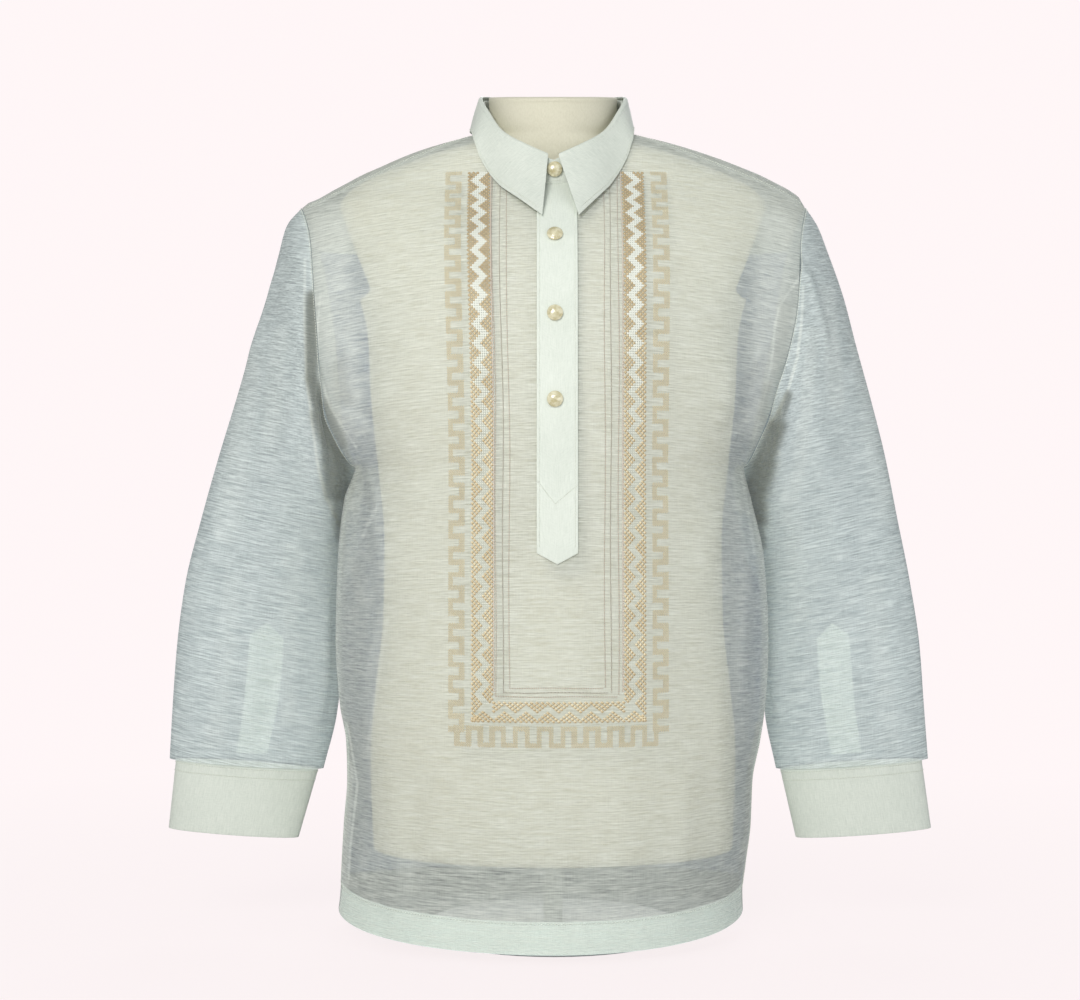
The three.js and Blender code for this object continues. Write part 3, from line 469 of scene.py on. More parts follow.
def sleeve_placket(side):
    def strip(u, v):
        low = GHOST_TIP + GHOST_POINT * np.abs(u)
        return sleeve(side, 270 + side * GHOST_HALF * u, mix(low, GHOST_END, v))

    return strip


print("sleeve tip:", sleeve(LEFT, 0, 1).round(1))

# %% [markdown]
# ## Collar and placket
# The collar is two pieces: an upright stand that buttons at the throat, and a leaf that rolls over it and
# falls to two points. The placket is a strip down the chest with a pointed end.

# %% Collar tables and surfaces
# turn from the back of the neck, height of the fold
COLLAR_FOLD = np.array([(0, 798), (50, 797), (85, 791), (112, 775), (137, 749), (160, 734), (180, 723)], float)
# turn, x on the right and left, y, z of the leaf's free edge
COLLAR_EDGE = np.array([
    (0, 0, 0, 71, 743), (30, -38, 38, 61, 743), (60, -66, 66, 35, 745), (90, -79, 77, -5, 744),
    (115, -75, 75, -41, 720), (140, -52, 54, -72, 698), (162, -28, 36, -93, 679),
    (178, -10.5, 22.8, -106, 665),
], float)
STAND_LAP, ROLL, LEAF_BELLY, LEAF_WAVE = 11, 0.1, 0.7, 0.5
STAND_FOOT, STAND_UNDER, LEAF_OVER = 0.6, 3.9, 5  # above the seam, below the fold, above the shoulder


def stand(u, v):
    u, v = as_pair(u, v)
    turn = 180 + STAND_LAP - (360 + 2 * STAND_LAP) * u
    x, y = neck_plan(turn, LAP_LIFT * ramp(0.9, 0.96, u))
    top = along(COLLAR_FOLD, 1, np.abs(np.mod(turn + 540, 360) - 180)) - STAND_UNDER
    return np.stack([x, y, mix(neck_seam(turn)[2] + STAND_FOOT, top, v)], -1)


def leaf(u, v):
    """v runs from inside the fold, round its roll, down to the free edge."""
    u, v = as_pair(u, v)
    side, turn = np.where(u < 0.5, RIGHT, LEFT), 178 * np.abs(2 * u - 1)
    angle = np.radians(mix(120, 0, np.clip(v / ROLL, 0, 1)))
    fold_x, fold_y = neck_plan(side * np.minimum(turn, 176), 2.1 + FOLD_R * np.cos(angle))
    fold_z = along(COLLAR_FOLD, 1, turn) - FOLD_R + FOLD_R * np.sin(angle)
    x = np.where(side < 0, along(COLLAR_EDGE, 1, turn), along(COLLAR_EDGE, 2, turn))
    y = along(COLLAR_EDGE, 3, turn)
    z = np.maximum(along(COLLAR_EDGE, 4, turn), height_at(x, y) + LEAF_OVER)
    share = np.clip((v - ROLL) / (1 - ROLL), 0, 1)
    out_x, out_y = neck_plan(side * turn)
    out = np.stack([out_x, out_y + COLLAR_FORWARD, 0 * out_x], -1)
    belly = np.sin(math.pi * share) * (LEAF_BELLY + LEAF_WAVE * np.sin(9 * u + 4))
    p = mix(np.stack([fold_x, fold_y, fold_z], -1), np.stack([x, y, z], -1), share[..., None])
    return p + unit(out) * belly[..., None]


def placket(u, v):
    u, v = as_pair(u, v)
    x = PLACKET_X + PLACKET_WIDE / 2 * u
    top = height_at(x, neck_plan(180 - x)[1]) - 0.4
    z = mix(PLACKET_TIP_Z + PLACKET_POINT * np.abs(u), top, v)
    return np.stack([x, body_depth(FRONT, x, z) - OFF_BODY, z], -1)


print("collar tips:", leaf(0.0, 1.0).round(1), leaf(1.0, 1.0).round(1))

# %% [markdown]
# ## From surface to mesh
# A surface is sampled on a grid and joined into quads. Its UV map holds distances over the cloth in
# metres, so that a weave keeps its real scale on every piece. Single sheets suit the sheer cloth, because
# a see-through shell of two walls would look twice as dense. Doubled pieces get a real thickness.


# %% Mesh helpers
def in_scene(name, data):
    obj = bpy.data.objects.new(name, data)
    bpy.context.scene.collection.objects.link(obj)
    return obj


def add_mesh(name, points, faces, place=None, smooth=True):
    mesh = bpy.data.meshes.new(name)
    mesh.from_pydata((np.asarray(points) / 1000).tolist(), [], np.asarray(faces).tolist())
    if place is not None:
        uv = mesh.uv_layers.new(name="weave")
        uv.data.foreach_set("uv", (place[np.asarray(faces).ravel()] / 1000).astype(np.float32).ravel())
    mesh.polygons.foreach_set("use_smooth", np.full(len(mesh.polygons), smooth))
    return in_scene(name, mesh)


def spans(points, axis):
    """How far each grid point lies along its row or column, over the surface."""
    steps = np.linalg.norm(np.diff(points, axis=axis), axis=-1)
    start = np.zeros_like(np.take(steps, [0], axis=axis))
    return np.concatenate([start, np.cumsum(steps, axis=axis)], axis=axis)


def grid_mesh(name, points, across, up):
    """A grid joined into quads, with its two distances over the cloth as the UV map."""
    index = np.arange(points[..., 0].size).reshape(points.shape[:2])
    corners = [index[:-1, :-1], index[:-1, 1:], index[1:, 1:], index[1:, :-1]]
    faces = np.stack(corners, -1).reshape(-1, 4)
    return add_mesh(name, points.reshape(-1, 3), faces, np.stack([across, up], -1).reshape(-1, 2))


def ring_faces(rings, strips):
    """Quads that join rings of points, one above the other."""
    low = np.arange((rings - 1) * strips)
    after = low + 1 - strips * (low % strips == strips - 1)
    return np.stack([low, after, after + strips, low + strips], -1)


def finish_piece(obj, material, stands_for=()):
    obj.data.materials.append(material)
    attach(obj, "root")
    if stands_for:
        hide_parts(*stands_for)
    return obj


def normals_of(surface, u, v, step=2e-3):
    """The outward normal, from the slopes across and along the surface."""
    across = surface(u + step, v) - surface(u - step, v)
    tall = surface(u, v + step) - surface(u, v - step)
    return unit(np.cross(across, tall))


def offset_grid(points, off):
    """The grid moved out along its normals."""
    return points + off * unit(np.cross(np.gradient(points, axis=1), np.gradient(points, axis=0)))


print("mesh helpers ready")


# %% Sheets, their thickness and their shades
def sheet_of(name, surface, us, vs, off=0, length=None, droop=0):
    """A sheet on a surface. Length is the direction that its weave's height is measured along, and droop is
    how far its level threads sink towards the sides."""
    points = surface(np.asarray(us)[None, :], np.asarray(vs)[:, None])
    if off:
        points = offset_grid(points, off)
    across, up = spans(points, 1), spans(points, 0)
    across = across - across[:, [across.shape[1] // 2]]
    if length is not None:
        sag = (points[..., 0] / 210) ** 2 * ramp(100, 560, points[..., 2])
        up = points @ np.asarray(length, float) + droop * sag
    return grid_mesh(name, points, across, up)


def thicken(obj, thick, edge, offset):
    """Gives a sheet its thickness and softens the edges."""
    solid = obj.modifiers.new("thickness", "SOLIDIFY")
    solid.thickness, solid.offset = thick / 1000, offset
    soft = obj.modifiers.new("edge", "BEVEL")
    soft.width, soft.segments = edge / 1000, 2
    soft.limit_method, soft.angle_limit = "ANGLE", math.radians(50)
    bpy.context.view_layer.update()
    done = bpy.data.meshes.new_from_object(obj.evaluated_get(bpy.context.evaluated_depsgraph_get()))
    obj.modifiers.clear()
    obj.data = done
    done.polygons.foreach_set("use_smooth", np.full(len(done.polygons), True))
    return obj


def painted_lines(x, z, lines):
    """How strongly each point is covered by soft lines from x, z to x, z with a width and a strength."""
    strength = np.zeros(len(x))
    for *line, wide, most in lines:
        off = beside(x, z, line)[1]
        strength = np.maximum(strength, most * np.exp(-((off / wide) ** 4)))
    return strength


def shade_piece(obj, shades, edges, nearer_than=0):
    """Stores painted shade for the cloth's folds, and a painted highlight, with denser cloth, along its folded
    edges.
    """
    points = np.empty(len(obj.data.vertices) * 3, np.float32)
    obj.data.vertices.foreach_get("co", points)
    x, y, z = points.reshape(-1, 3).T * 1000
    near = 1 - ramp(nearer_than - 12, nearer_than + 12, y)
    for name, lines in (("shade", shades), ("edge", edges)):
        values = (painted_lines(x, z, lines) * near).astype(np.float32)
        obj.data.attributes.new(name, "FLOAT", "POINT").data.foreach_set("value", values)


print("helpers ready")

# %% [markdown]
# ## The weave
# The real cloth is woven from threads of uneven thickness. Up close, long level slubs and short thick
# ones lie on a thin open ground. The group below makes them from stretched noise over the UV map, and
# gives their thickness, a slow patchiness and a height. Each cloth uses it with its own values.


# %% Node helpers
def node_group(name, inputs, outputs):
    group = bpy.data.node_groups.new(name, "ShaderNodeTree")
    for socket, kind, value in inputs:
        made = group.interface.new_socket(socket, in_out="INPUT", socket_type=kind)
        if value is not None:
            made.default_value = value
    for socket, kind in outputs:
        group.interface.new_socket(socket, in_out="OUTPUT", socket_type=kind)
    return group, group.nodes.new("NodeGroupInput"), group.nodes.new("NodeGroupOutput")


class Wires:
    """Short calls that add nodes to a tree and link them."""

    def __init__(self, tree):
        self.tree = tree

    def link(self, source, target):
        if isinstance(source, bpy.types.NodeSocket):
            self.tree.links.new(source, target)
        else:
            target.default_value = source

    def math(self, operation, a, b=0.0, clamp=False):
        node = self.tree.nodes.new("ShaderNodeMath")
        node.operation, node.use_clamp = operation, clamp
        self.link(a, node.inputs[0])
        self.link(b, node.inputs[1])
        return node.outputs[0]

    def scaled(self, vector, scale, shift=(0, 0, 0)):
        node = self.tree.nodes.new("ShaderNodeMapping")
        node.inputs["Scale"].default_value = scale
        node.inputs["Location"].default_value = shift
        self.link(vector, node.inputs["Vector"])
        return node.outputs[0]

    def noise(self, vector, detail, rough):
        node = self.tree.nodes.new("ShaderNodeTexNoise")
        self.link(vector, node.inputs["Vector"])
        for socket, value in (("Scale", 1), ("Detail", detail), ("Roughness", rough)):
            node.inputs[socket].default_value = value
        return node.outputs["Fac"]

    def layered(self, place, layers):
        """Layers of noise, each with its scale, shift, detail, roughness and share, and their sum."""
        made = [self.noise(self.scaled(place, *layer[:2]), *layer[2:4]) for layer in layers]
        parts = [self.math("MULTIPLY", one, layer[4]) for one, layer in zip(made, layers)]
        total = parts[0]
        for part in parts[1:]:
            total = self.math("ADD", total, part)
        return made, total

    def span(self, value, low, high, to_low, to_high):
        node = self.tree.nodes.new("ShaderNodeMapRange")
        for socket, number in zip(node.inputs[:5], (value, low, high, to_low, to_high)):
            self.link(number, socket)
        return node.outputs[0]

    def blend(self, share, a, b):
        node = self.tree.nodes.new("ShaderNodeMix")
        node.data_type = "RGBA"
        self.link(share, node.inputs[0])
        self.link(a, node.inputs[6])
        self.link(b, node.inputs[7])
        return node.outputs[2]


print("node helpers ready")


# %% The slub weave group
NO_SHIFT = (0, 0, 0)
SLUBS = [
    ((34, 680, 1), NO_SHIFT, 2, 0.6, 0.62), ((120, 1150, 1), (3, 7, 2), 1, 0.5, 0.3),
    ((1500, 60, 1), (9, 1, 4), 0, 0.5, 0.08),
]  # long level slubs, short ones, and the upright warp
FULL_CONTRAST = 3.2


def make_slub_weave():
    outputs = [(name, "NodeSocketFloat") for name in ("Thread", "Patch", "Height")]
    group, given, made = node_group(
        "slub weave", [("Place", "NodeSocketVector", None), ("Contrast", "NodeSocketFloat", 1.0)], outputs
    )
    w = Wires(group)
    place = given.outputs["Place"]
    _, height = w.layered(place, SLUBS)
    contrast = w.math("MULTIPLY", given.outputs["Contrast"], FULL_CONTRAST)
    thread = w.math("ADD", w.math("MULTIPLY", w.math("SUBTRACT", height, 0.5), contrast), 0.5, clamp=True)
    patch = w.noise(w.scaled(place, (14, 30, 1), (5, 2, 8)), 3, 0.55)
    for name, value in (("Thread", thread), ("Patch", patch), ("Height", height)):
        group.links.new(value, made.inputs[name])
    return group


slub_weave = make_slub_weave()
made_sockets = [item.name for item in slub_weave.interface.items_tree if item.in_out == "OUTPUT"]
print("weave group outputs:", made_sockets)

# %% [markdown]
# ## Sheer cloth
# The cloth hides about a third of what lies behind it between its threads, and three quarters on them, so
# Alpha follows the thread thickness. Its inside is painted cooler and darker, a painted shade that gives the
# blue-grey of a layer seen through another. Thin cloth also scatters light onward, so it casts only part of
# a full shadow: Light Path makes it more open to shadow rays. Two values stored on the mesh paint light on
# it: shade is painted shade where a fold is deep, and edge is a painted highlight where the cloth is folded
# on itself, and both make the cloth denser there. A shell with real transmission would cost far more.


# %% Sheer cloth material
def new_material(name):
    material = bpy.data.materials.new(name)
    material.use_nodes = True
    return material, Wires(material.node_tree), material.node_tree.nodes["Principled BSDF"]


def uv_place(w):
    node = w.tree.nodes.new("ShaderNodeUVMap")
    node.uv_map = "weave"
    return node.outputs[0]


def settle(shader, settings):
    for name, value in settings.items():
        shader.inputs[name].default_value = value


def add_bump(w, shader, height, strength, distance):
    bump = w.tree.nodes.new("ShaderNodeBump")
    settle(bump, {"Strength": strength, "Distance": distance})
    w.link(height, bump.inputs["Height"])
    w.link(bump.outputs[0], shader.inputs["Normal"])


def stored_value(w, name):
    node = w.tree.nodes.new("ShaderNodeAttribute")
    node.attribute_name = name
    return node.outputs["Fac"]


FOLD_SHADE = (0.10, 0.105, 0.075, 1)  # painted shade: the colour given to cloth deep in a fold
PAINTED_FOLD_HIGHLIGHT = (0.88, 0.92, 0.85, 1)  # painted highlight: the colour given to cloth folded on itself
FOLDED_DENSER, PATCHY, SHADOW_SHARE = 0.32, 0.03, 0.4


def sheer_material(name, outside, thin_outside, shaded_inside, open_alpha, dense_alpha, contrast=1.0):
    material, w, shader = new_material(name)
    weave = w.tree.nodes.new("ShaderNodeGroup")
    weave.node_tree = slub_weave
    w.link(uv_place(w), weave.inputs["Place"])
    weave.inputs["Contrast"].default_value = contrast
    thread, patch, height = weave.outputs
    back = w.tree.nodes.new("ShaderNodeNewGeometry").outputs["Backfacing"]
    # shade is painted shade in deep folds, and edge a painted highlight where the cloth is folded on itself;
    # both also make it denser
    shade, edge = (stored_value(w, kind) for kind in ("shade", "edge"))
    # seen from behind, the cloth takes its darker inside colour: painted shade
    cloth = w.blend(edge, w.blend(back, w.blend(thread, thin_outside, outside), shaded_inside), PAINTED_FOLD_HIGHLIGHT)
    w.link(w.blend(shade, cloth, FOLD_SHADE), shader.inputs["Base Color"])
    patchy = w.span(patch, 0.3, 0.7, -PATCHY, PATCHY)
    alpha = w.math("ADD", w.span(thread, 0, 1, open_alpha, dense_alpha), patchy)
    alpha = w.math("ADD", alpha, w.math("MULTIPLY", w.math("ADD", shade, edge), FOLDED_DENSER))
    shadow = w.tree.nodes.new("ShaderNodeLightPath").outputs["Is Shadow Ray"]
    lets_on = w.span(shadow, 0, 1, 1, SHADOW_SHARE)
    w.link(w.math("MULTIPLY", alpha, lets_on, clamp=True), shader.inputs["Alpha"])
    w.link(w.span(thread, 0, 1, 0.75, 0.5), shader.inputs["Roughness"])
    settle(shader, {"Sheen Weight": 0.2, "Specular IOR Level": 0.25})
    add_bump(w, shader, height, 0.35, 0.0006)
    return material


print("deep folds:", FOLD_SHADE[:3])


# %% The sheer cloths
# each cloth's colour outside, where its threads are thin, and its painted-shade colour inside, then its alpha
# between and on threads
BODY_THREADS = (0.765, 0.80, 0.735, 1), (0.71, 0.75, 0.685, 1)
body_cloth = sheer_material("sheer body cloth", *BODY_THREADS, (0.74, 0.76, 0.69, 1), 0.33, 0.74)
# the back's inside is dark blue: painted shade for the unlit inside of the back, seen below the form
back_cloth_painted_dark_inside = sheer_material("sheer back cloth", *BODY_THREADS, (0.08, 0.18, 0.42, 1), 0.38, 0.72, 1.1)
# the sleeve cloth is a bluer copy of the body cloth, painted cool light, and its inside is painted shade
sleeve_cloth = sheer_material(
    "sheer sleeve cloth", (0.81, 0.885, 0.87, 1), (0.66, 0.735, 0.735, 1), (0.50, 0.575, 0.60, 1),
    0.34, 0.73, 1.25,
)
# the turned layers are a lighter copy of the cloth, painted light that makes up for the shade of the cloth
# over them, and their inside is painted shade
turned = sheer_material(
    "turned hem cloth", (0.86, 0.97, 0.93, 1), (0.78, 0.90, 0.86, 1), (0.22, 0.25, 0.26, 1),
    0.82, 0.97, 0.8,
)
# seam allowances are a darker, fainter copy of the cloth: painted shade for layers that lie inside
shaded_allowance_cloth = sheer_material(
    "seam allowance cloth", (0.70, 0.75, 0.70, 1), (0.62, 0.67, 0.63, 1), (0.45, 0.5, 0.5, 1),
    0.3, 0.55,
)
print("sheer materials:", body_cloth.name, sleeve_cloth.name, turned.name)

# %% [markdown]
# ## Doubled cloth
# The collar, placket and cuffs are a fine closed twill over a stiff lining, so they hide what is behind
# them. At this distance a twill is a mix of thin ribs, grain and slow patches, so three layers of noise
# make it. The same function later makes the pearl, the threads, the knit and the paint from their layers.


# %% A material from layers of noise, and the doubled cloth
def grained_material(name, layers, spread, dark, light, rough, bump, settings, on_cloth=False):
    """Colours that follow layers of noise. The first layer also drives the roughness, and on cloth the
    layers' sum drives the bump."""
    material, w, shader = new_material(name)
    place = uv_place(w) if on_cloth else w.tree.nodes.new("ShaderNodeTexCoord").outputs["Object"]
    made, total = w.layered(place, layers)
    w.link(w.blend(w.span(total, *spread, 0, 1), (*dark, 1), (*light, 1)), shader.inputs["Base Color"])
    w.link(w.span(made[0], 0.3, 0.7, *rough), shader.inputs["Roughness"])
    settle(shader, settings)
    add_bump(w, shader, total if on_cloth else made[0], *bump)
    return material


TWILL = [
    ((1300, 90, 1), NO_SHIFT, 1, 0.5, 0.4), ((260, 700, 1), (2, 5, 1), 2, 0.6, 0.3),
    ((22, 16, 1), (4, 4, 4), 2, 0.5, 0.3),
]


def doubled_material(name, dark, light):
    matt = {"Sheen Weight": 0.25, "Specular IOR Level": 0.25}
    return grained_material(name, TWILL, (0.36, 0.62), dark, light, (0.72, 0.55), (0.3, 0.0005), matt, True)


doubled = doubled_material("doubled twill", (0.60, 0.645, 0.58), (0.72, 0.76, 0.69))
placket_twill = doubled_material("placket twill", (0.67, 0.72, 0.645), (0.78, 0.825, 0.75))
# the sleeve plackets get a lighter copy of the doubled twill: painted light, so they show as a pale ghost
# through the sleeve
painted_lit_twill = doubled_material("bright twill", (0.79, 0.84, 0.72), (0.89, 0.93, 0.82))
print("doubled cloths:", doubled.name, placket_twill.name, painted_lit_twill.name)

# %% [markdown]
# ## Body, hem and facings
# The front and back are sheets of their own. Each hem is turned up inside, so its second layer starts
# under the hem's rounded edge and ends at the stitches. Tiny upright puckers run along a sewn hem, and
# the rows near it carry them. The vents' edges are turned in the same way.

# %% Body panels
UPRIGHT = (0, 0, 1)


def puckered(surface, high=0.45):
    """Adds the small upright puckers of a sewn hem to the lower rows."""

    def panel(t, v):
        p = surface(t, v)
        n = np.stack([0 * p[..., 0], np.sign(p[..., 1]), 0 * p[..., 0]], -1)
        s = p[..., 0]
        wave = np.sin(s / 4.1 + 1.3 * np.sin(s / 23)) * (0.5 + 0.5 * np.sin(s / 31 + 1))
        wave = wave + 0.7 * np.sin(s / 7.3 + 2 * np.sin(s / 41))
        near = hump(p[..., 2] - HEM_Z - HEM_HIGH, 17)
        return p + n * (high * wave * near)[..., None]

    return panel


def sheer_piece(node, surface, us, vs, material, **more):
    """A single sheet that replaces the solid of the same name."""
    return finish_piece(sheet_of(f"{node}_cloth", surface, us, vs, **more), material, [node])


CROWDED, DROOP = 0.35, 16  # how much closer the columns lie at the sides, and how far the weave sinks there
columns = mix(np.linspace(-1, 1, 221), np.sin(np.linspace(-math.pi / 2, math.pi / 2, 221)), CROWDED)
columns[[0, -1]] = [-1, 1]
rows = np.linspace(0, 1, 301)
front_cloth, back_cloth = puckered(front_panel), puckered(back_panel)
level_weave = {"length": UPRIGHT, "droop": DROOP}
front = sheer_piece("front", front_cloth, columns, rows, body_cloth, **level_weave)
back = sheer_piece("back", back_cloth, columns[::2], rows[::2], back_cloth_painted_dark_inside, **level_weave)
print("front and back quads:", len(front.data.polygons), len(back.data.polygons))

# %% Where the front has painted shade, or painted highlights on denser cloth, and the yoke
# from x, z to x, z, width, strength
FRONT_SHADES = [
    (-196, 528, -192, 502, 9, 0.24), (-212, 496, -196, 460, 6, 0.5), (-176, 440, -166, 404, 6, 0.16),
    (-178, 350, -176, 90, 9, 0.1), (-166, 384, -150, 250, 7, 0.08), (182, 350, 180, 90, 8, 0.08),
    (160, 590, 168, 536, 13, 0.1), (186, 420, 176, 372, 7, 0.1), (211, 584, 205, 520, 7, 0.2),
    (196, 512, 192, 486, 5, 0.3),
]
# painted highlights along folded edges of the front, where the cloth is also denser
FRONT_DENSE_HIGHLIGHTS = [
    (-213, 596, -217, 548, 1.5, 0.5), (-217, 548, -215, 524, 1.5, 0.6), (-215, 524, -205, 493, 1.6, 0.7),
    (-205, 493, -190, 470, 1.6, 0.7), (-190, 470, -181, 456, 1.5, 0.6), (-206, 660, -196, 560, 19, 0.38),
    (-196, 560, -184, 476, 16, 0.4), (-204, 552, -186, 540, 6, 0.3), (226, 612, 214, 597, 1.5, 0.5),
    (214, 597, 205, 583, 1.5, 0.6), (205, 583, 201, 566, 1.5, 0.7), (201, 566, 200, 550, 1.5, 0.7),
    (200, 550, 198, 528, 1.6, 0.7), (198, 528, 193, 503, 1.6, 0.6), (193, 503, 186, 466, 1.5, 0.5),
    (206, 660, 196, 560, 19, 0.38), (196, 560, 184, 476, 14, 0.36), (176, 432, 186, 360, 2.2, 0.25),
    (-150, 300, -170, 180, 2, 0.2), (-160, 402, -176, 372, 2, 0.25), (-192, 199, -181, 146, 1.5, 0.5),
    (-181, 146, -188, 88, 1.5, 0.6), (-188, 88, -190, 57, 1.5, 0.6), (-189, 160, -195, 50, 5, 0.35),
]
shade_piece(front, FRONT_SHADES, FRONT_DENSE_HIGHLIGHTS)
sheer_piece("yoke", yoke, columns[::2], np.linspace(0, 1, 61), body_cloth)
print("shaded and dense lines on the front:", len(FRONT_SHADES), len(FRONT_DENSE_HIGHLIGHTS))

# %% Hems and facings
TURN_GAP, SEAM_GAP, ROLL_DROP = 0.9, 0.8, 0.4  # layers lie this far inside, and the hem's edge rolls lower


def turned_layer(name, surface, us, v_to, stands_for):
    """A turned-in layer with the rounded edge that joins it to the outer one."""
    points = surface(np.asarray(us)[None, :], np.linspace(0, v_to, 24)[:, None])
    inner = offset_grid(points, -TURN_GAP)
    roll = mix(points[0], inner[0], 0.5) + np.array([0, 0, -ROLL_DROP])
    grid = np.concatenate([roll[None], inner])
    return finish_piece(grid_mesh(name, grid, spans(grid, 1), spans(grid, 0)), turned, stands_for)


def edge_strip(name, surface, t, vs, inwards, material, stands_for=()):
    """A narrow strip inside a panel, along its side edge."""
    points = offset_grid(surface(np.sort(t)[None, :], vs[:, None]), -inwards)
    strip = grid_mesh(name, points, spans(points, 1), points[..., 2])
    return finish_piece(strip, material, stands_for)


TALL = {"front": float(front_top(np.array(1.0))[1]) - HEM_Z, "back": YOKE_SEAM_Z - HEM_Z}
FACING_ACROSS, ALLOWANCE_ACROSS = np.array([0.93, 0.95, 0.97, 0.985, 1]), np.array([0.945, 0.97, 0.985, 1])
turned_pieces = []
for face, surface in (("front", front_cloth), ("back", back_cloth)):
    hem_v, vent_v = HEM_HIGH / TALL[face], (VENT_TOP - HEM_Z) / TALL[face]
    turned_pieces.append(turned_layer(f"{face}_hem_layer", surface, columns, hem_v, [f"{face}_hem"]))
    for end in (-1, 1):
        node = f"{face}_vent_facing_{'right' if (end < 0) == (face == 'front') else 'left'}"
        vs = np.linspace(hem_v + 0.002, vent_v, 60)
        facing = edge_strip(f"{node}_layer", surface, FACING_ACROSS * end, vs, TURN_GAP, turned, [node])
        turned_pieces.append(facing)
print("turned pieces:", [o.name for o in turned_pieces])

# %% Seam allowances inside the side seams, armholes and shoulders
allowances = []
for face, surface in (("front", front_panel), ("back", back_panel)):
    vs = np.linspace(VENT_TOP - HEM_Z, ARMPIT_Z - HEM_Z, 90) / TALL[face]
    for end, word in SIDES:
        name = f"side_seam_allowance_{face}_{word}"
        allowances.append(edge_strip(name, surface, ALLOWANCE_ACROSS * end, vs, SEAM_GAP, shaded_allowance_cloth))
across_shoulder = np.linspace(NECK_SHARE + 0.01, 1, 40)
edges = [
    (f"armhole_allowance_{word}", sleeve_round(side), np.linspace(0, 1, 181), (0.002, 0.024, 6), TURN_GAP)
    for side, word in SIDES
]
edges.append(("yoke_allowance", yoke, columns[::2], (0, 0.07, 5), SEAM_GAP))
edges += [
    (f"shoulder_allowance_{word}", yoke, np.sort(across_shoulder * end), (0.93, 0.998, 5), SEAM_GAP)
    for end, word in ((-1, "left"), (1, "right"))
]
for name, surface, us, vs, inwards in edges:
    strip = sheet_of(name, surface, us, np.linspace(*vs), -inwards)
    allowances.append(finish_piece(strip, shaded_allowance_cloth))
print("seam allowances:", len(allowances))

# %% [markdown]
# ## Sleeves
# The sleeve's threads run square to its own length, not level, so its weave is measured along the line
# from the shoulder to the cuff. The sleeve placket lies on its back, so it shows as a pale ghost.

# %% Sleeves, sleeve plackets and cuffs
def stiff_piece(node, surface, us, vs, material, edge, lift=0, thick=STIFF_WALL):
    """A doubled piece that replaces the solid of the same name. One with a lift lies on another piece."""
    sheet = sheet_of(f"{node}_cloth", surface, us, vs, lift)
    return finish_piece(thicken(sheet, thick, edge, 1 if lift else -1), material, [node])


# from x, z to x, z, width, strength
SLEEVE_SHADES = {
    RIGHT: [
        (-221, 594, -221, 520, 7.5, 0.84), (-221, 520, -213, 486, 8, 0.86), (-213, 486, -203, 452, 12, 0.86),
        (-203, 452, -202, 414, 13, 0.86), (-202, 414, -200, 372, 9, 0.7), (-206, 370, -207, 250, 8, 0.22),
    ],
    LEFT: [
        (215, 504, 204, 472, 5, 0.7), (206, 476, 196, 442, 10, 0.84), (197, 442, 192, 417, 12, 0.86),
        (192, 417, 194, 388, 10, 0.84), (194, 388, 198, 364, 6, 0.7), (202, 345, 204, 250, 8, 0.22),
    ],
}
# painted highlights along the sleeves' folded edges, where the cloth is also denser
SLEEVE_DENSE_HIGHLIGHTS = {
    RIGHT: [
        (-229, 630, -228, 583, 1.5, 0.35), (-228, 583, -226, 519, 1.6, 0.5),
        (-226, 519, -222, 480, 1.6, 0.55), (-222, 480, -218, 440, 1.6, 0.55),
        (-218, 440, -213, 411, 1.6, 0.5), (-213, 411, -203, 383, 1.6, 0.4),
        (-252, 560, -262, 470, 9, 0.14), (-284, 540, -306, 380, 14, 0.14),
        (-300, 330, -318, 180, 10, 0.12), (-245, 360, -252, 200, 8, 0.12),
    ],
    LEFT: [
        (229, 604, 227, 570, 1.5, 0.4), (227, 570, 223, 538, 1.6, 0.5), (223, 538, 216, 512, 1.6, 0.5),
        (216, 512, 206, 488, 1.6, 0.5), (206, 488, 194, 466, 1.6, 0.4), (238, 560, 226, 420, 7, 0.2),
        (254, 600, 262, 500, 9, 0.22), (290, 560, 312, 400, 14, 0.14), (222, 420, 234, 300, 9, 0.12),
        (300, 330, 316, 180, 10, 0.12),
    ],
}
for side, word in SIDES:
    along_sleeve = {"length": (side * -0.2, 0, 0.98)}
    evenly = np.linspace(0, 1, 261)
    tube = sheer_piece(f"sleeve_{word}", sleeve_round(side), evenly, evenly, sleeve_cloth, **along_sleeve)
    shade_piece(tube, SLEEVE_SHADES[side], SLEEVE_DENSE_HIGHLIGHTS[side], nearer_than=20)
    us, vs = np.linspace(-1, 1, 21), np.linspace(0, 1, 61)
    stiff_piece(f"sleeve_placket_{word}", sleeve_placket(side), us, vs, painted_lit_twill, 0.2, 0.6, 0.8)
    us, vs = np.linspace(0, 1, 161), np.linspace(0, 1, 25)
    stiff_piece(f"cuff_{word}", cuff(side), us, vs, doubled, 0.4)
print("sleeve quads:", len(tube.data.polygons))

# %% Collar and placket pieces
stiff_piece("collar_stand", stand, np.linspace(0, 1, 181), np.linspace(0, 1, 13), doubled, 0.35)
leaf_rows = np.concatenate([np.linspace(0, ROLL, 9), np.linspace(ROLL, 1, 30)[1:]])
near_tip = np.linspace(0, 0.14, 40)
leaf_columns = np.concatenate([near_tip, np.linspace(0.14, 0.86, 141)[1:-1], np.linspace(0.86, 1, 40)])
collar_leaf = stiff_piece("collar_leaf", leaf, leaf_columns, leaf_rows, doubled, 0.45)
stiff_piece("placket", placket, np.linspace(-1, 1, 33), np.linspace(0, 1, 181), placket_twill, 0.4, 0.6)
print("collar leaf faces:", len(collar_leaf.data.polygons))

# %% [markdown]
# ## Buttons
# The buttons are small domes of golden pearl, sewn on from behind. A profile turned round an axis gives each
# its thin edge and its dome. The pearl changes softly from cream to gold under a clear polish.


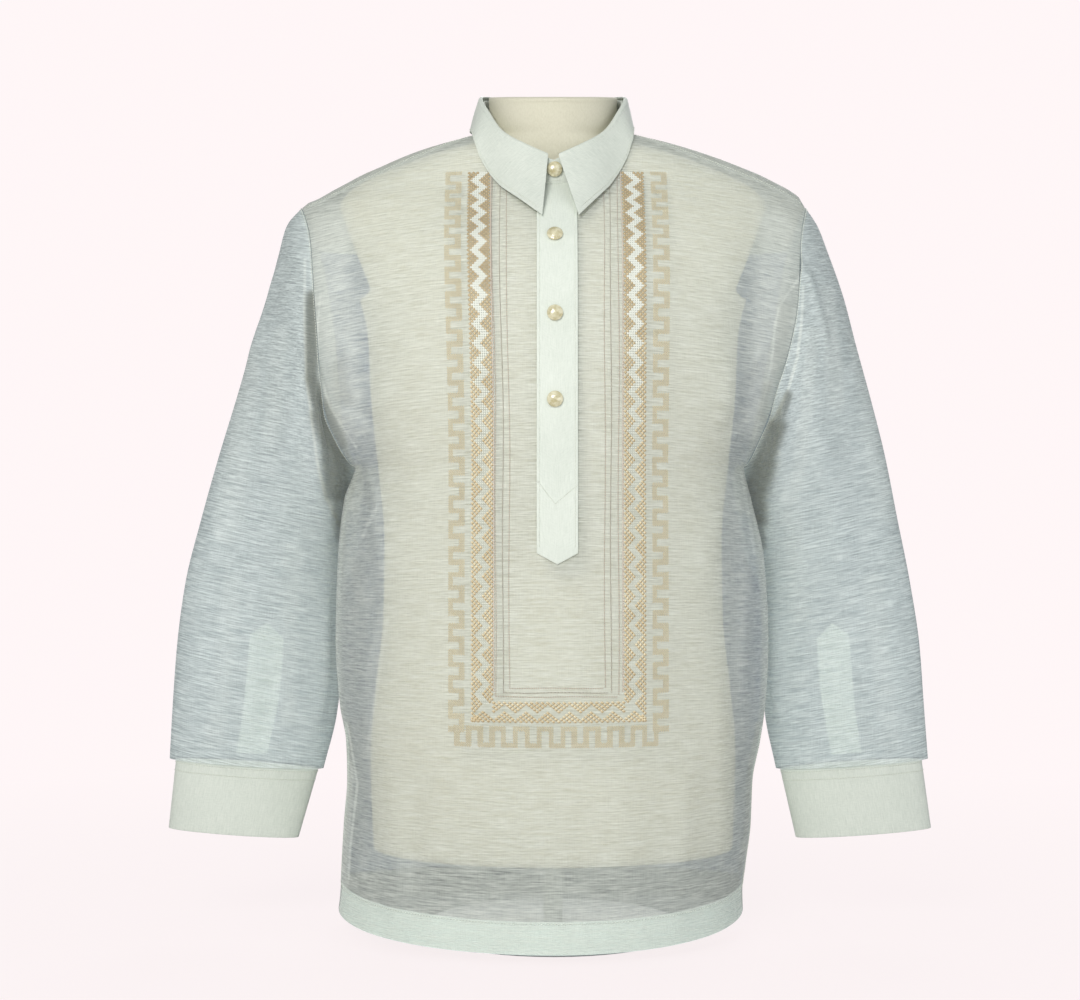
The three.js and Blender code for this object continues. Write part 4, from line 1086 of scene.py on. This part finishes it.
# %% Pearl and threads
def thread_material(name, light, dark, rough, sheen, metal=0.0):
    layers = [((900, 900, 900), NO_SHIFT, 2, 0.6, 0.6), ((45, 45, 45), (3, 1, 2), 1, 0.5, 0.4)]
    rough, shine = (rough + 0.1, rough - 0.08), {"Metallic": metal, "Sheen Weight": sheen}
    return grained_material(name, layers, (0.34, 0.64), dark, light, rough, (0.2, 0.0002), shine)


CLOUDY = [((170, 170, 260), NO_SHIFT, 3, 0.6, 1)]
POLISH = {"Coat Weight": 0.8, "Coat Roughness": 0.06, "Sheen Weight": 0.1}
pearl = grained_material(
    "golden pearl", CLOUDY, (0.35, 0.65), (0.50, 0.44, 0.24), (0.80, 0.76, 0.56), (0.28, 0.14),
    (0.15, 0.0003), POLISH,
)
white_thread = thread_material("white thread", (0.86, 0.89, 0.80), (0.66, 0.69, 0.60), 0.5, 0.3)
grey_thread = thread_material("grey tuck thread", (0.56, 0.53, 0.46), (0.42, 0.39, 0.33), 0.6, 0.1)
rose_thread = thread_material("rose tuck thread", (0.58, 0.46, 0.39), (0.42, 0.32, 0.27), 0.6, 0.1)


print("threads:", white_thread.name, grey_thread.name)


# %% Buttons
# radius and height of a button's outline, from the middle of its back to the middle of its dome
BUTTON_OUTLINE = np.array([
    (0.02, 0), (6.0, 0), (6.9, 0.4), (7.2, 1.0), (7.0, 1.6), (6.3, 1.9), (5.9, 2.0), (5.2, 2.6), (4.2, 3.1),
    (2.9, 3.45), (1.5, 3.65), (0.02, 3.7),
])


def make_button(name, radius, middle, out, strips=48):
    """The outline turned round an axis that points out of the cloth."""
    out = unit(np.asarray(out, float))
    level = unit(np.cross([0, 0, 1], out))
    angles = np.linspace(0, 2 * math.pi, strips, endpoint=False)[:, None]
    ring = np.cos(angles) * level + np.sin(angles) * np.cross(out, level)
    points = np.concatenate([middle + r * ring + h * out for r, h in BUTTON_OUTLINE * radius / BUTTON_R])
    faces = ring_faces(len(BUTTON_OUTLINE), strips)
    return finish_piece(add_mesh(f"{name}_pearl", points, faces), pearl, [name])


on_stand = np.array([BUTTON_X, neck_plan(180.0, LAP_LIFT)[1] - 0.6, 710.5])
make_button("button_1", BUTTON_R, on_stand, (0, -1, 0))
for i, z in enumerate((644.9, 573.6, 497.2)):
    slope = float(body_depth(FRONT, BUTTON_X, z + 8) - body_depth(FRONT, BUTTON_X, z - 8))
    out = np.array([0, -16, slope]) / math.hypot(16, slope)
    place = np.array([BUTTON_X, float(body_depth(FRONT, BUTTON_X, z)), z])
    make_button(f"button_{i + 2}", BUTTON_R, place + out * 2.5, out)
for side, word in SIDES:
    lap = (360 + CUFF_LAP) / (360 + 2 * CUFF_LAP)
    out = limb_out(side, CUFF, np.array(0.5), np.array(270.0))
    make_button(f"cuff_button_{word}", CUFF_BUTTON_R, cuff(side)(lap, 0.5) + out * 0.6, out)
print("button thickness:", BUTTON_OUTLINE[-1, 1], "mm")

# %% [markdown]
# ## Embroidery
# A rectangle of geometric embroidery frames the placket, an ordinary kind of border. Its gold part is two
# rows of small satin triangles that face each other and leave a white zigzag between them. Each triangle
# is counted out in diamond stitches on a lattice. Outside it, a paler open stitch makes a stepped key.

# %% The pattern's places on the front
STEP, REACH = 2.16, 1.9  # the lattice of the satin stitches, along the columns and across them
LOW_STEP, LOW_REACH = 2.394, 1.9  # and in the bottom rows
INNER = 17.4  # between the outer and the inner base of the facing triangles
PATTERN_FOOT, PATTERN_HEAD, CLIMB_X = 213.0, 710.5, 76.0  # the climb up the cloth is measured at this x
TOP_WIDER, TOP_SHIFT = 0.04, 1.9

LEVELS = np.linspace(150, 712, 563)
CLIMB = np.cumsum(np.hypot(1, np.gradient(body_depth(FRONT, CLIMB_X, LEVELS))))
UP_CLOTH = PATTERN_FOOT + CLIMB - np.interp(PATTERN_FOOT, LEVELS, CLIMB)
PATTERN_TOP = float(np.interp(PATTERN_HEAD, LEVELS, UP_CLOTH))


def on_front(x, z, off):
    """A place on the front. The pattern's z is counted up along the cloth, which leans back near the top, and
    the pattern spreads a little towards the shoulders."""
    x, z = np.asarray(x, float), np.interp(z, UP_CLOTH, LEVELS)
    spread = ramp(450, 712, z)
    x = x * (1 + TOP_WIDER * spread) - TOP_SHIFT * spread
    return np.stack([x, body_depth(FRONT, x, z) - OFF_BODY - off, z], -1)


print("top of the pattern, along the cloth:", round(PATTERN_TOP, 1))


# %% Rows of triangles in diamond stitches
def stitch_field(name, places, half_x, half_z, high, material):
    """One raised diamond stitch at each place, following the cloth."""
    places = np.asarray(places, float)
    corners = [(half_x, 0), (0, half_z), (-half_x, 0), (0, -half_z)]
    rims = [on_front(places[:, 0] + a, places[:, 1] + b, 0.12) for a, b in corners]
    tops = on_front(places[:, 0], places[:, 1], high)
    points = np.stack(rims + [tops], 1).reshape(-1, 3)
    base = np.arange(len(places))[:, None] * 5
    faces = np.concatenate([base + np.array([(i + 1) % 4, i, 4]) for i in range(4)])
    return finish_piece(add_mesh(name, points, faces, smooth=False), material)


def triangle_row(start, count, step, apex, shift):
    """Places of the stitches of a row of triangles: along its base by steps, and towards each apex."""
    start, step, apex = np.array(start, float), np.array(step, float), np.array(apex, float)
    places = []
    for k in range(count + 1):
        phase = (k + shift) % 8
        reach = 4 - min(phase, 8 - phase)
        places += [start + step * k + apex * i for i in range(reach + 1) if (k + shift + i) % 2 == 0]
    return places


print("lattice:", STEP, "by", REACH, "mm")


# %% Gold triangles and the zigzag
FRAME_LEFT, FRAME_RIGHT, LOW_STEPS = -72.7, 80.5, 64
BOTH_COLUMNS = ((FRAME_LEFT, 1), (FRAME_RIGHT, -1))
COLUMN_STEPS = int((PATTERN_TOP - PATTERN_FOOT) / STEP)
FRAME_TOP = PATTERN_FOOT + COLUMN_STEPS * STEP
columns_gold, low_gold = [], []
for outer_x, inward in BOTH_COLUMNS:
    outer_top, inner_top = (outer_x, FRAME_TOP), (outer_x + inward * INNER, FRAME_TOP)
    columns_gold += triangle_row(outer_top, COLUMN_STEPS, (0, -STEP), (inward * REACH, 0), 0)
    columns_gold += triangle_row(inner_top, COLUMN_STEPS - 8, (0, -STEP), (-inward * REACH, 0), 4)
low_gold += triangle_row((FRAME_LEFT, PATTERN_FOOT), LOW_STEPS, (LOW_STEP, 0), (0, LOW_REACH), 4)
inner_low = (FRAME_LEFT + 8 * LOW_STEP, PATTERN_FOOT + 16.3)
low_gold += triangle_row(inner_low, LOW_STEPS - 16, (LOW_STEP, 0), (0, -LOW_REACH), 0)
gold = thread_material("gold satin thread", (0.99, 0.90, 0.66), (0.72, 0.57, 0.34), 0.26, 0.2, 0.1)
under = thread_material("brown under thread", (0.44, 0.325, 0.165), (0.33, 0.24, 0.12), 0.6, 0.1)
satin = (("columns", columns_gold, REACH, STEP), ("low_rows", low_gold, LOW_STEP, LOW_REACH))
for word, places, wide, tall in satin:
    places = np.array(places)
    higher_up = ramp(430, 680, places[:, 1])  # higher up the stitches lie closer and look browner
    # brown thread under the gold, shifted to the lower right as a painted shadow side of each stitch, less so
    # higher up
    under_on_shadow_side = places + np.outer(1 - higher_up, [0.42, -0.45])
    under_size, gold_size = mix(0.76, 0.88, higher_up), mix(0.62, 0.4, higher_up)
    stitch_field(f"gold_{word}_under", under_on_shadow_side, wide * under_size, tall * under_size, 0.3, under)
    stitch_field(f"gold_{word}", places, wide * gold_size, tall * gold_size, 1.0, gold)
zigzag = []
for outer_x, inward in BOTH_COLUMNS:
    for k in range(COLUMN_STEPS - 6):
        outer_reach, inner_reach = (4 - min(phase % 8, 8 - phase % 8) for phase in (k, k + 4))
        for x in np.arange(REACH * (outer_reach + 1), INNER - REACH * (inner_reach + 0.8), REACH):
            zigzag.append((outer_x + inward * x, FRAME_TOP - k * STEP))
zigzag = np.array(zigzag)
close = mix(0.2, 0.74, ramp(380, 640, zigzag[:, 1]))  # its stitches are small and open lower down
zigzag_thread = thread_material("pale zigzag thread", (0.80, 0.82, 0.75), (0.70, 0.72, 0.65), 0.6, 0.1)
stitch_field("white_zigzag", zigzag, REACH * close, STEP * close, 0.3, zigzag_thread)
print("gold stitches:", len(columns_gold) + len(low_gold))


# %% The stepped key in open stitch
def key_path(span_from, span_to, near, far, step):
    """Corners of a band that steps from side to side as it goes along."""
    corners, at, low = [], span_from, True
    while at * math.copysign(1, step) <= span_to * math.copysign(1, step):
        corners += [(at, near if low else far), (at, far if low else near)]
        low = not low
        at += step
    return corners


def band_places(corners, half, cell):
    """Places of open stitches that fill a band of a given half width along a path."""
    found = set()
    for (a0, b0), (a1, b1) in zip(corners[:-1], corners[1:]):
        low_a, high_a = min(a0, a1) - half, max(a0, a1) + half
        low_b, high_b = min(b0, b1) - half, max(b0, b1) + half
        for i in range(math.ceil(low_a / cell), math.floor(high_a / cell) + 1):
            for j in range(math.ceil(low_b / cell), math.floor(high_b / cell) + 1):
                if (i + j) % 2 == 0:
                    found.add((i * cell, j * cell))
    return sorted(found)


KEY_CELL, KEY_HALF, KEY_STEP, LOW_KEY_STEP, KEY_END = 1.05, 2.35, 11.4, 10.4, 200
found = []
for near, far in ((-81.8, -91.8), (89.6, 99.6)):
    path = [(x, z) for z, x in key_path(FRAME_TOP, KEY_END, near, far, -KEY_STEP)]
    found += band_places(path, KEY_HALF, KEY_CELL)
found += band_places(key_path(-86, 96, 206.3, 191.5, LOW_KEY_STEP), KEY_HALF, KEY_CELL)
key_places = sorted(set(found))
tan = thread_material("tan open stitch", (0.62, 0.53, 0.33), (0.46, 0.38, 0.22), 0.75, 0.1)
stitch_field("tan_key", key_places, KEY_CELL * 0.6, KEY_CELL * 0.86, 0.4, tan)
print("key stitches:", len(key_places))

# %% [markdown]
# ## Tucks and seams
# Three fine tucks run inside the embroidery, and every sewn edge carries a line of stitches. A stitch is
# a short raised bar that dips into the cloth at both ends, so one helper lays them along any line.


# %% Thread lines
def stitch_line(name, path, out, material, radius=0.28, dash=1.7, gap=0.8, lift=0.15):
    """A row of stitches along a path, with the outward direction at each of its points."""
    steps = np.linalg.norm(np.diff(path, axis=0), axis=1)
    far = np.concatenate([[0], np.cumsum(steps)])
    starts = np.arange(0, far[-1] - dash, dash + gap)
    places = starts[:, None] + np.array([0, 0.5, 1]) * dash

    def at(values):
        return np.stack([np.interp(places, far, values[:, k]) for k in range(3)], -1)

    middle, outward = at(path), unit(at(out))
    run = unit(middle[:, 2] - middle[:, 0])
    sideways = np.cross(run[:, None, :], outward)
    high = np.array([0, radius * 0.8, 0])[None, :, None] + lift
    ring = [sideways * radius, outward * radius, -sideways * radius, -outward * radius]
    points = np.stack([middle + outward * high + r for r in ring], 2).reshape(-1, 3)
    bar = np.concatenate([ring_faces(3, 4), [[3, 2, 1, 0], [8, 9, 10, 11]]])
    quads = np.arange(len(starts))[:, None] * 12 + bar[:, None, :]
    return finish_piece(add_mesh(name, points, quads.reshape(-1, 4)), material)


def front_line(name, xs, zs, material, off=0.1, **more):
    path = on_front(np.asarray(xs), np.asarray(zs), off)
    return stitch_line(name, path, np.tile([0.0, -1.0, 0.0], (len(path), 1)), material, **more)


def sewn_line(name, surface, us, vs, lift=0.2, radius=0.22, **more):
    us, vs = as_pair(us, vs)
    out = normals_of(surface, us, vs)
    return stitch_line(name, surface(us, vs), out, white_thread, lift=lift, radius=radius, **more)


print("thread lines ready")


# %% Tucks
DOTTED, PLAIN = {"dash": 1.0, "gap": 1.1, "radius": 0.42}, {"dash": 3.0, "gap": 0.12, "radius": 0.34}
# x on the right and left, z of the low end
TUCKS = ((-51.6, 57.3, 234.4), (-45.0, 50.4, 238.0), (-39.4, 45.0, 242.0))
tall = np.linspace(0, 1, 240)
for i, (right_x, left_x, low_z) in enumerate(TUCKS):
    look, thread = (PLAIN, grey_thread) if i == 1 else (DOTTED, rose_thread)
    for word, x, lean in (("right", right_x, -0.6), ("left", left_x, 0.4)):
        zs = mix(PATTERN_TOP, low_z, tall)
        xs = x + lean * ((zs - low_z) / 450) ** 2 + 0.5 * np.sin(zs / 37 + i)
        front_line(f"tuck_{word}_{i + 1}", xs, zs, thread, **look)
    wide = np.linspace(right_x, left_x, 90)
    front_line(f"tuck_low_{i + 1}", wide, low_z + 0.3 * np.sin(wide / 11 + i), thread, **look)
pink = thread_material("blush satin thread", (0.80, 0.71, 0.62), (0.70, 0.60, 0.50), 0.45, 0.2)
down = np.linspace(PATTERN_TOP, 238, 200)
for (outer_x, inward), word in zip(BOTH_COLUMNS, ("right", "left")):
    x = outer_x + inward * (INNER + 1.9)
    front_line(f"satin_line_{word}", np.full(200, x), down, pink, radius=0.6, dash=2.4, gap=0.1)
print("tucks:", len(TUCKS) * 3)

# %% Stitches on the placket, collar, cuffs, hem and seams
for word, u in (("right", -0.86), ("left", 0.86)):
    sewn_line(f"placket_stitches_{word}", placket, u, np.linspace(0.02, 0.985, 300), 2.0, 0.28)
v_down = np.linspace(0, 1, 30)
xs = np.concatenate([mix(-14.5, 1.0, v_down), mix(1.0, 21.0, v_down[1:])])
zs = np.concatenate([mix(425, 404.5, v_down), mix(404.5, 421.5, v_down[1:])])
front_line("placket_stitches_point", xs, zs, white_thread, 2.1, lift=0.1)
sewn_line("collar_leaf_stitches", leaf, np.linspace(0.012, 0.988, 700), 0.93)
sewn_line("collar_stand_stitches", stand, np.linspace(0.01, 0.99, 500), 0.12)
for side, word in SIDES:
    around = np.linspace(0.005, 0.995, 400)
    for i, v in enumerate((0.03, 0.15)):
        sewn_line(f"cuff_stitches_{word}_{i + 1}", cuff(side), around, v, radius=0.28)
    around = np.linspace(0.001, 0.999, 400)
    sewn_line(f"armhole_stitches_{word}", sleeve_round(side), around, 0.004, radius=0.25)
for face, surface in (("front", front_cloth), ("back", back_cloth)):
    hem_v = HEM_HIGH / TALL[face]
    t = np.linspace(-0.97, 0.97, 400)
    sewn_line(f"{face}_hem_stitches", surface, t, hem_v - 0.003, radius=0.25, dash=1.4, gap=1.6)
    for end, word in ((-1, "a"), (1, "b")):
        sewn_line(f"{face}_vent_stitches_{word}", surface, end * 0.935, np.linspace(hem_v, 0.27, 120))
sewn_line("yoke_stitches", yoke, np.linspace(-0.99, 0.99, 300), 0.03)
for end, word in ((-1, "left"), (1, "right")):
    sewn_line(f"shoulder_stitches_{word}", yoke, np.linspace(NECK_SHARE + 0.02, 0.99, 200) * end, 0.965)
print("stitch lines laid")

# %% [markdown]
# ## The dress form and its stand
# The form shows at the neck and glows through the cloth, so it is built smooth and whole: many level
# sections, a flat neck and flat arm ends. A fine cotton knit covers it. The stand's steel is painted.


# %% Dress form
ARM_END_X, ARM_END_Z, ARM_END_LEAN, NECK_TILT = 168, 600, 0.4, 0.19  # the flats at the arms and the neck


def torso(turn, z):
    a = np.radians(turn)
    half, front_reach, back_reach, pinch = (along(FORM, k, z) for k in (1, 2, 3, 4))
    limit = np.where(z < ARM_END_Z, half, ARM_END_X + np.maximum(0, z - ARM_END_Z) * ARM_END_LEAN)
    x = np.clip(half * np.sin(a), -limit, limit)
    y = np.sign(np.cos(a)) * np.abs(np.cos(a)) ** pinch * np.where(np.cos(a) < 0, front_reach, back_reach)
    tilt = NECK_TILT * y * ramp(772, 790, z)
    return np.stack([x, y, z + tilt], -1)


KNIT = [((700, 700, 420), NO_SHIFT, 2, 0.6, 0.45), ((9, 9, 7), (2, 3, 1), 2, 0.5, 0.55)]
knit = grained_material(
    "cotton knit cover", KNIT, (0.38, 0.62), (0.62, 0.595, 0.465), (0.69, 0.665, 0.535), (0.9, 0.78),
    (0.25, 0.0004), {"Sheen Weight": 0.15},
)


def make_torso(strips=144):
    turns = np.linspace(360, 0, strips, endpoint=False)
    levels = [np.linspace(78, 690, 80), np.linspace(690, 760, 36)[1:], np.linspace(760, 790, 12)[1:]]
    rings = [torso(turns, np.full(strips, z)) for z in np.concatenate(levels)]

    def inset(ring, share, lift):
        return mix(ring, ring.mean(0), share) + np.array([0, 0, lift])

    bottom = [inset(rings[0], s, h) for s, h in ((0.98, 6), (0.5, 4), (0.08, 0.6), (0.02, 0))]
    rings[0] = rings[0] + np.array([0, 0, 1.2])
    lid = [inset(rings[-1], s, h) for s, h in ((0.03, 0.5), (0.3, 0.9), (0.98, 1))]
    rings[-1] = rings[-1] - np.array([0, 0, 0.8])
    rings = bottom + rings + lid
    return add_mesh("form_cover", np.concatenate(rings), ring_faces(len(rings), strips))


torso_piece = finish_piece(make_torso(), knit, ["form_torso"])
print("form faces:", len(torso_piece.data.polygons))

# %% Stand paint
PAINT = [((600, 600, 600), NO_SHIFT, 1, 0.5, 0), ((20, 20, 20), NO_SHIFT, 3, 0.6, 1)]
stand_paint = grained_material(
    "satin stand paint", PAINT, (0, 1), (0.52, 0.56, 0.57), (0.60, 0.64, 0.65), (0.5, 0.38),
    (0.1, 0.0002), {},
)
for name in ("stand_post", "stand_base"):
    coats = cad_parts[name].data.materials
    coats.clear()
    coats.append(stand_paint)
print("stand painted")

# %% [markdown]
# ## Sheets of cloth
# For the front and the back, the names of the hem layer, the vent facings and the side seam allowances are
# listed beside the size that the panel's cloth is cut to; the script does nothing more with them.


for face, wide, tall, area in (("front", 0.58, 0.74, 0.375), ("back", 0.56, 0.66, 0.325)):
    edges = [f"{face}_hem_layer"] + [f"{face}_vent_facing_{word}_layer" for _, word in SIDES]
    edges += [f"side_seam_allowance_{face}_{word}" for _, word in SIDES]

# %% [markdown]
# ## Studio
# A pale floor, a pale backdrop and soft light from the front, a little stronger from the left. The world
# shows the camera a pale backdrop, while the cloth is lit by, and shows through itself, a cooler grey.
# That keeps the sleeves blue-grey, as cloth photographed in a grey studio.

# %% Floor and backdrop
PALE, THROUGH_CLOTH, AROUND = (1.0, 0.925, 0.932, 1), (0.10, 0.115, 0.125, 1), (0.34, 0.355, 0.365, 1)
FLOOR_HALF = 9000


def camera_rays(w):
    """Whether a ray comes from the camera, and whether it hasn't passed through cloth yet."""
    path = w.tree.nodes.new("ShaderNodeLightPath")
    return path.outputs["Is Camera Ray"], w.math("LESS_THAN", path.outputs["Transparent Depth"], 0.5)


def make_world():
    world = bpy.data.worlds.new("studio")
    bpy.context.scene.world = world
    world.use_nodes = True
    w = Wires(world.node_tree)
    seen, direct = camera_rays(w)
    lit = w.blend(seen, AROUND, THROUGH_CLOTH)
    backdrop = w.blend(w.math("MULTIPLY", seen, direct), lit, PALE)
    w.link(backdrop, world.node_tree.nodes["Background"].inputs["Color"])


def make_floor():
    corners = np.array([(-1, -1, 0), (1, -1, 0), (1, 1, 0), (-1, 1, 0)]) * FLOOR_HALF
    floor = add_mesh("floor", corners, [(0, 1, 2, 3)])
    material, w, shader = new_material("pale floor")
    settle(shader, {"Base Color": (0.8, 0.77, 0.77, 1), "Roughness": 0.9, "Specular IOR Level": 0.1})
    seen, direct = camera_rays(w)
    far = w.tree.nodes.new("ShaderNodeVectorMath")
    far.operation = "LENGTH"
    w.link(w.tree.nodes.new("ShaderNodeTexCoord").outputs["Object"], far.inputs[0])
    plain = w.span(far.outputs["Value"], 0.15, 1.3, 0.88, 1)  # a soft shadow stays near the stand
    glow = w.tree.nodes.new("ShaderNodeEmission")
    w.link(w.blend(direct, THROUGH_CLOTH, PALE), glow.inputs["Color"])
    both = w.tree.nodes.new("ShaderNodeMixShader")
    parts = (w.math("MULTIPLY", seen, w.span(direct, 0, 1, 1, plain)), shader.outputs[0], glow.outputs[0])
    for part, socket in zip(parts, both.inputs):
        w.link(part, socket)
    w.link(both.outputs[0], w.tree.nodes["Material Output"].inputs["Surface"])
    floor.data.materials.append(material)


make_world()
make_floor()
print("backdrop colour:", PALE[:3])


# %% Lights and camera
def make_light(name, place, target, size, power, colour):
    light = bpy.data.lights.new(name, "AREA")
    light.shape, light.size, light.energy, light.color = "DISK", size, power, colour
    obj = in_scene(name, light)
    obj.location = place
    obj.rotation_mode = "QUATERNION"
    obj.rotation_quaternion = (Vector(target) - Vector(place)).to_track_quat("-Z", "Y")


make_light("key", (-0.7, -2.2, 1.5), (0, 0, 0.5), 1.1, 37, (1, 0.99, 0.955))
make_light("fill", (1.6, -1.8, 0.9), (0, 0, 0.4), 1.6, 9.5, (0.95, 0.98, 1))
make_light("back", (0.3, 2.2, 1.5), (0, 0, 0.4), 1.6, 27, (0.97, 0.985, 1))

CAMERA_FAR, SEEN_WIDE, SENSOR = 2000, 1026, 36  # the camera is 2 m away and sees 1.026 m across the form
camera_data = bpy.data.cameras.new("camera")
camera_data.lens, camera_data.sensor_width = SENSOR * CAMERA_FAR / SEEN_WIDE, SENSOR
camera = in_scene("camera", camera_data)
camera.location = (-0.01235, -CAMERA_FAR / 1000, 0.408)
camera.rotation_euler = (math.pi / 2, 0, 0)
scene = bpy.context.scene
scene.camera = camera
scene.view_settings.view_transform = "Standard"
scene.cycles.transparent_max_bounces = 32
print("camera lens:", round(camera_data.lens, 1))
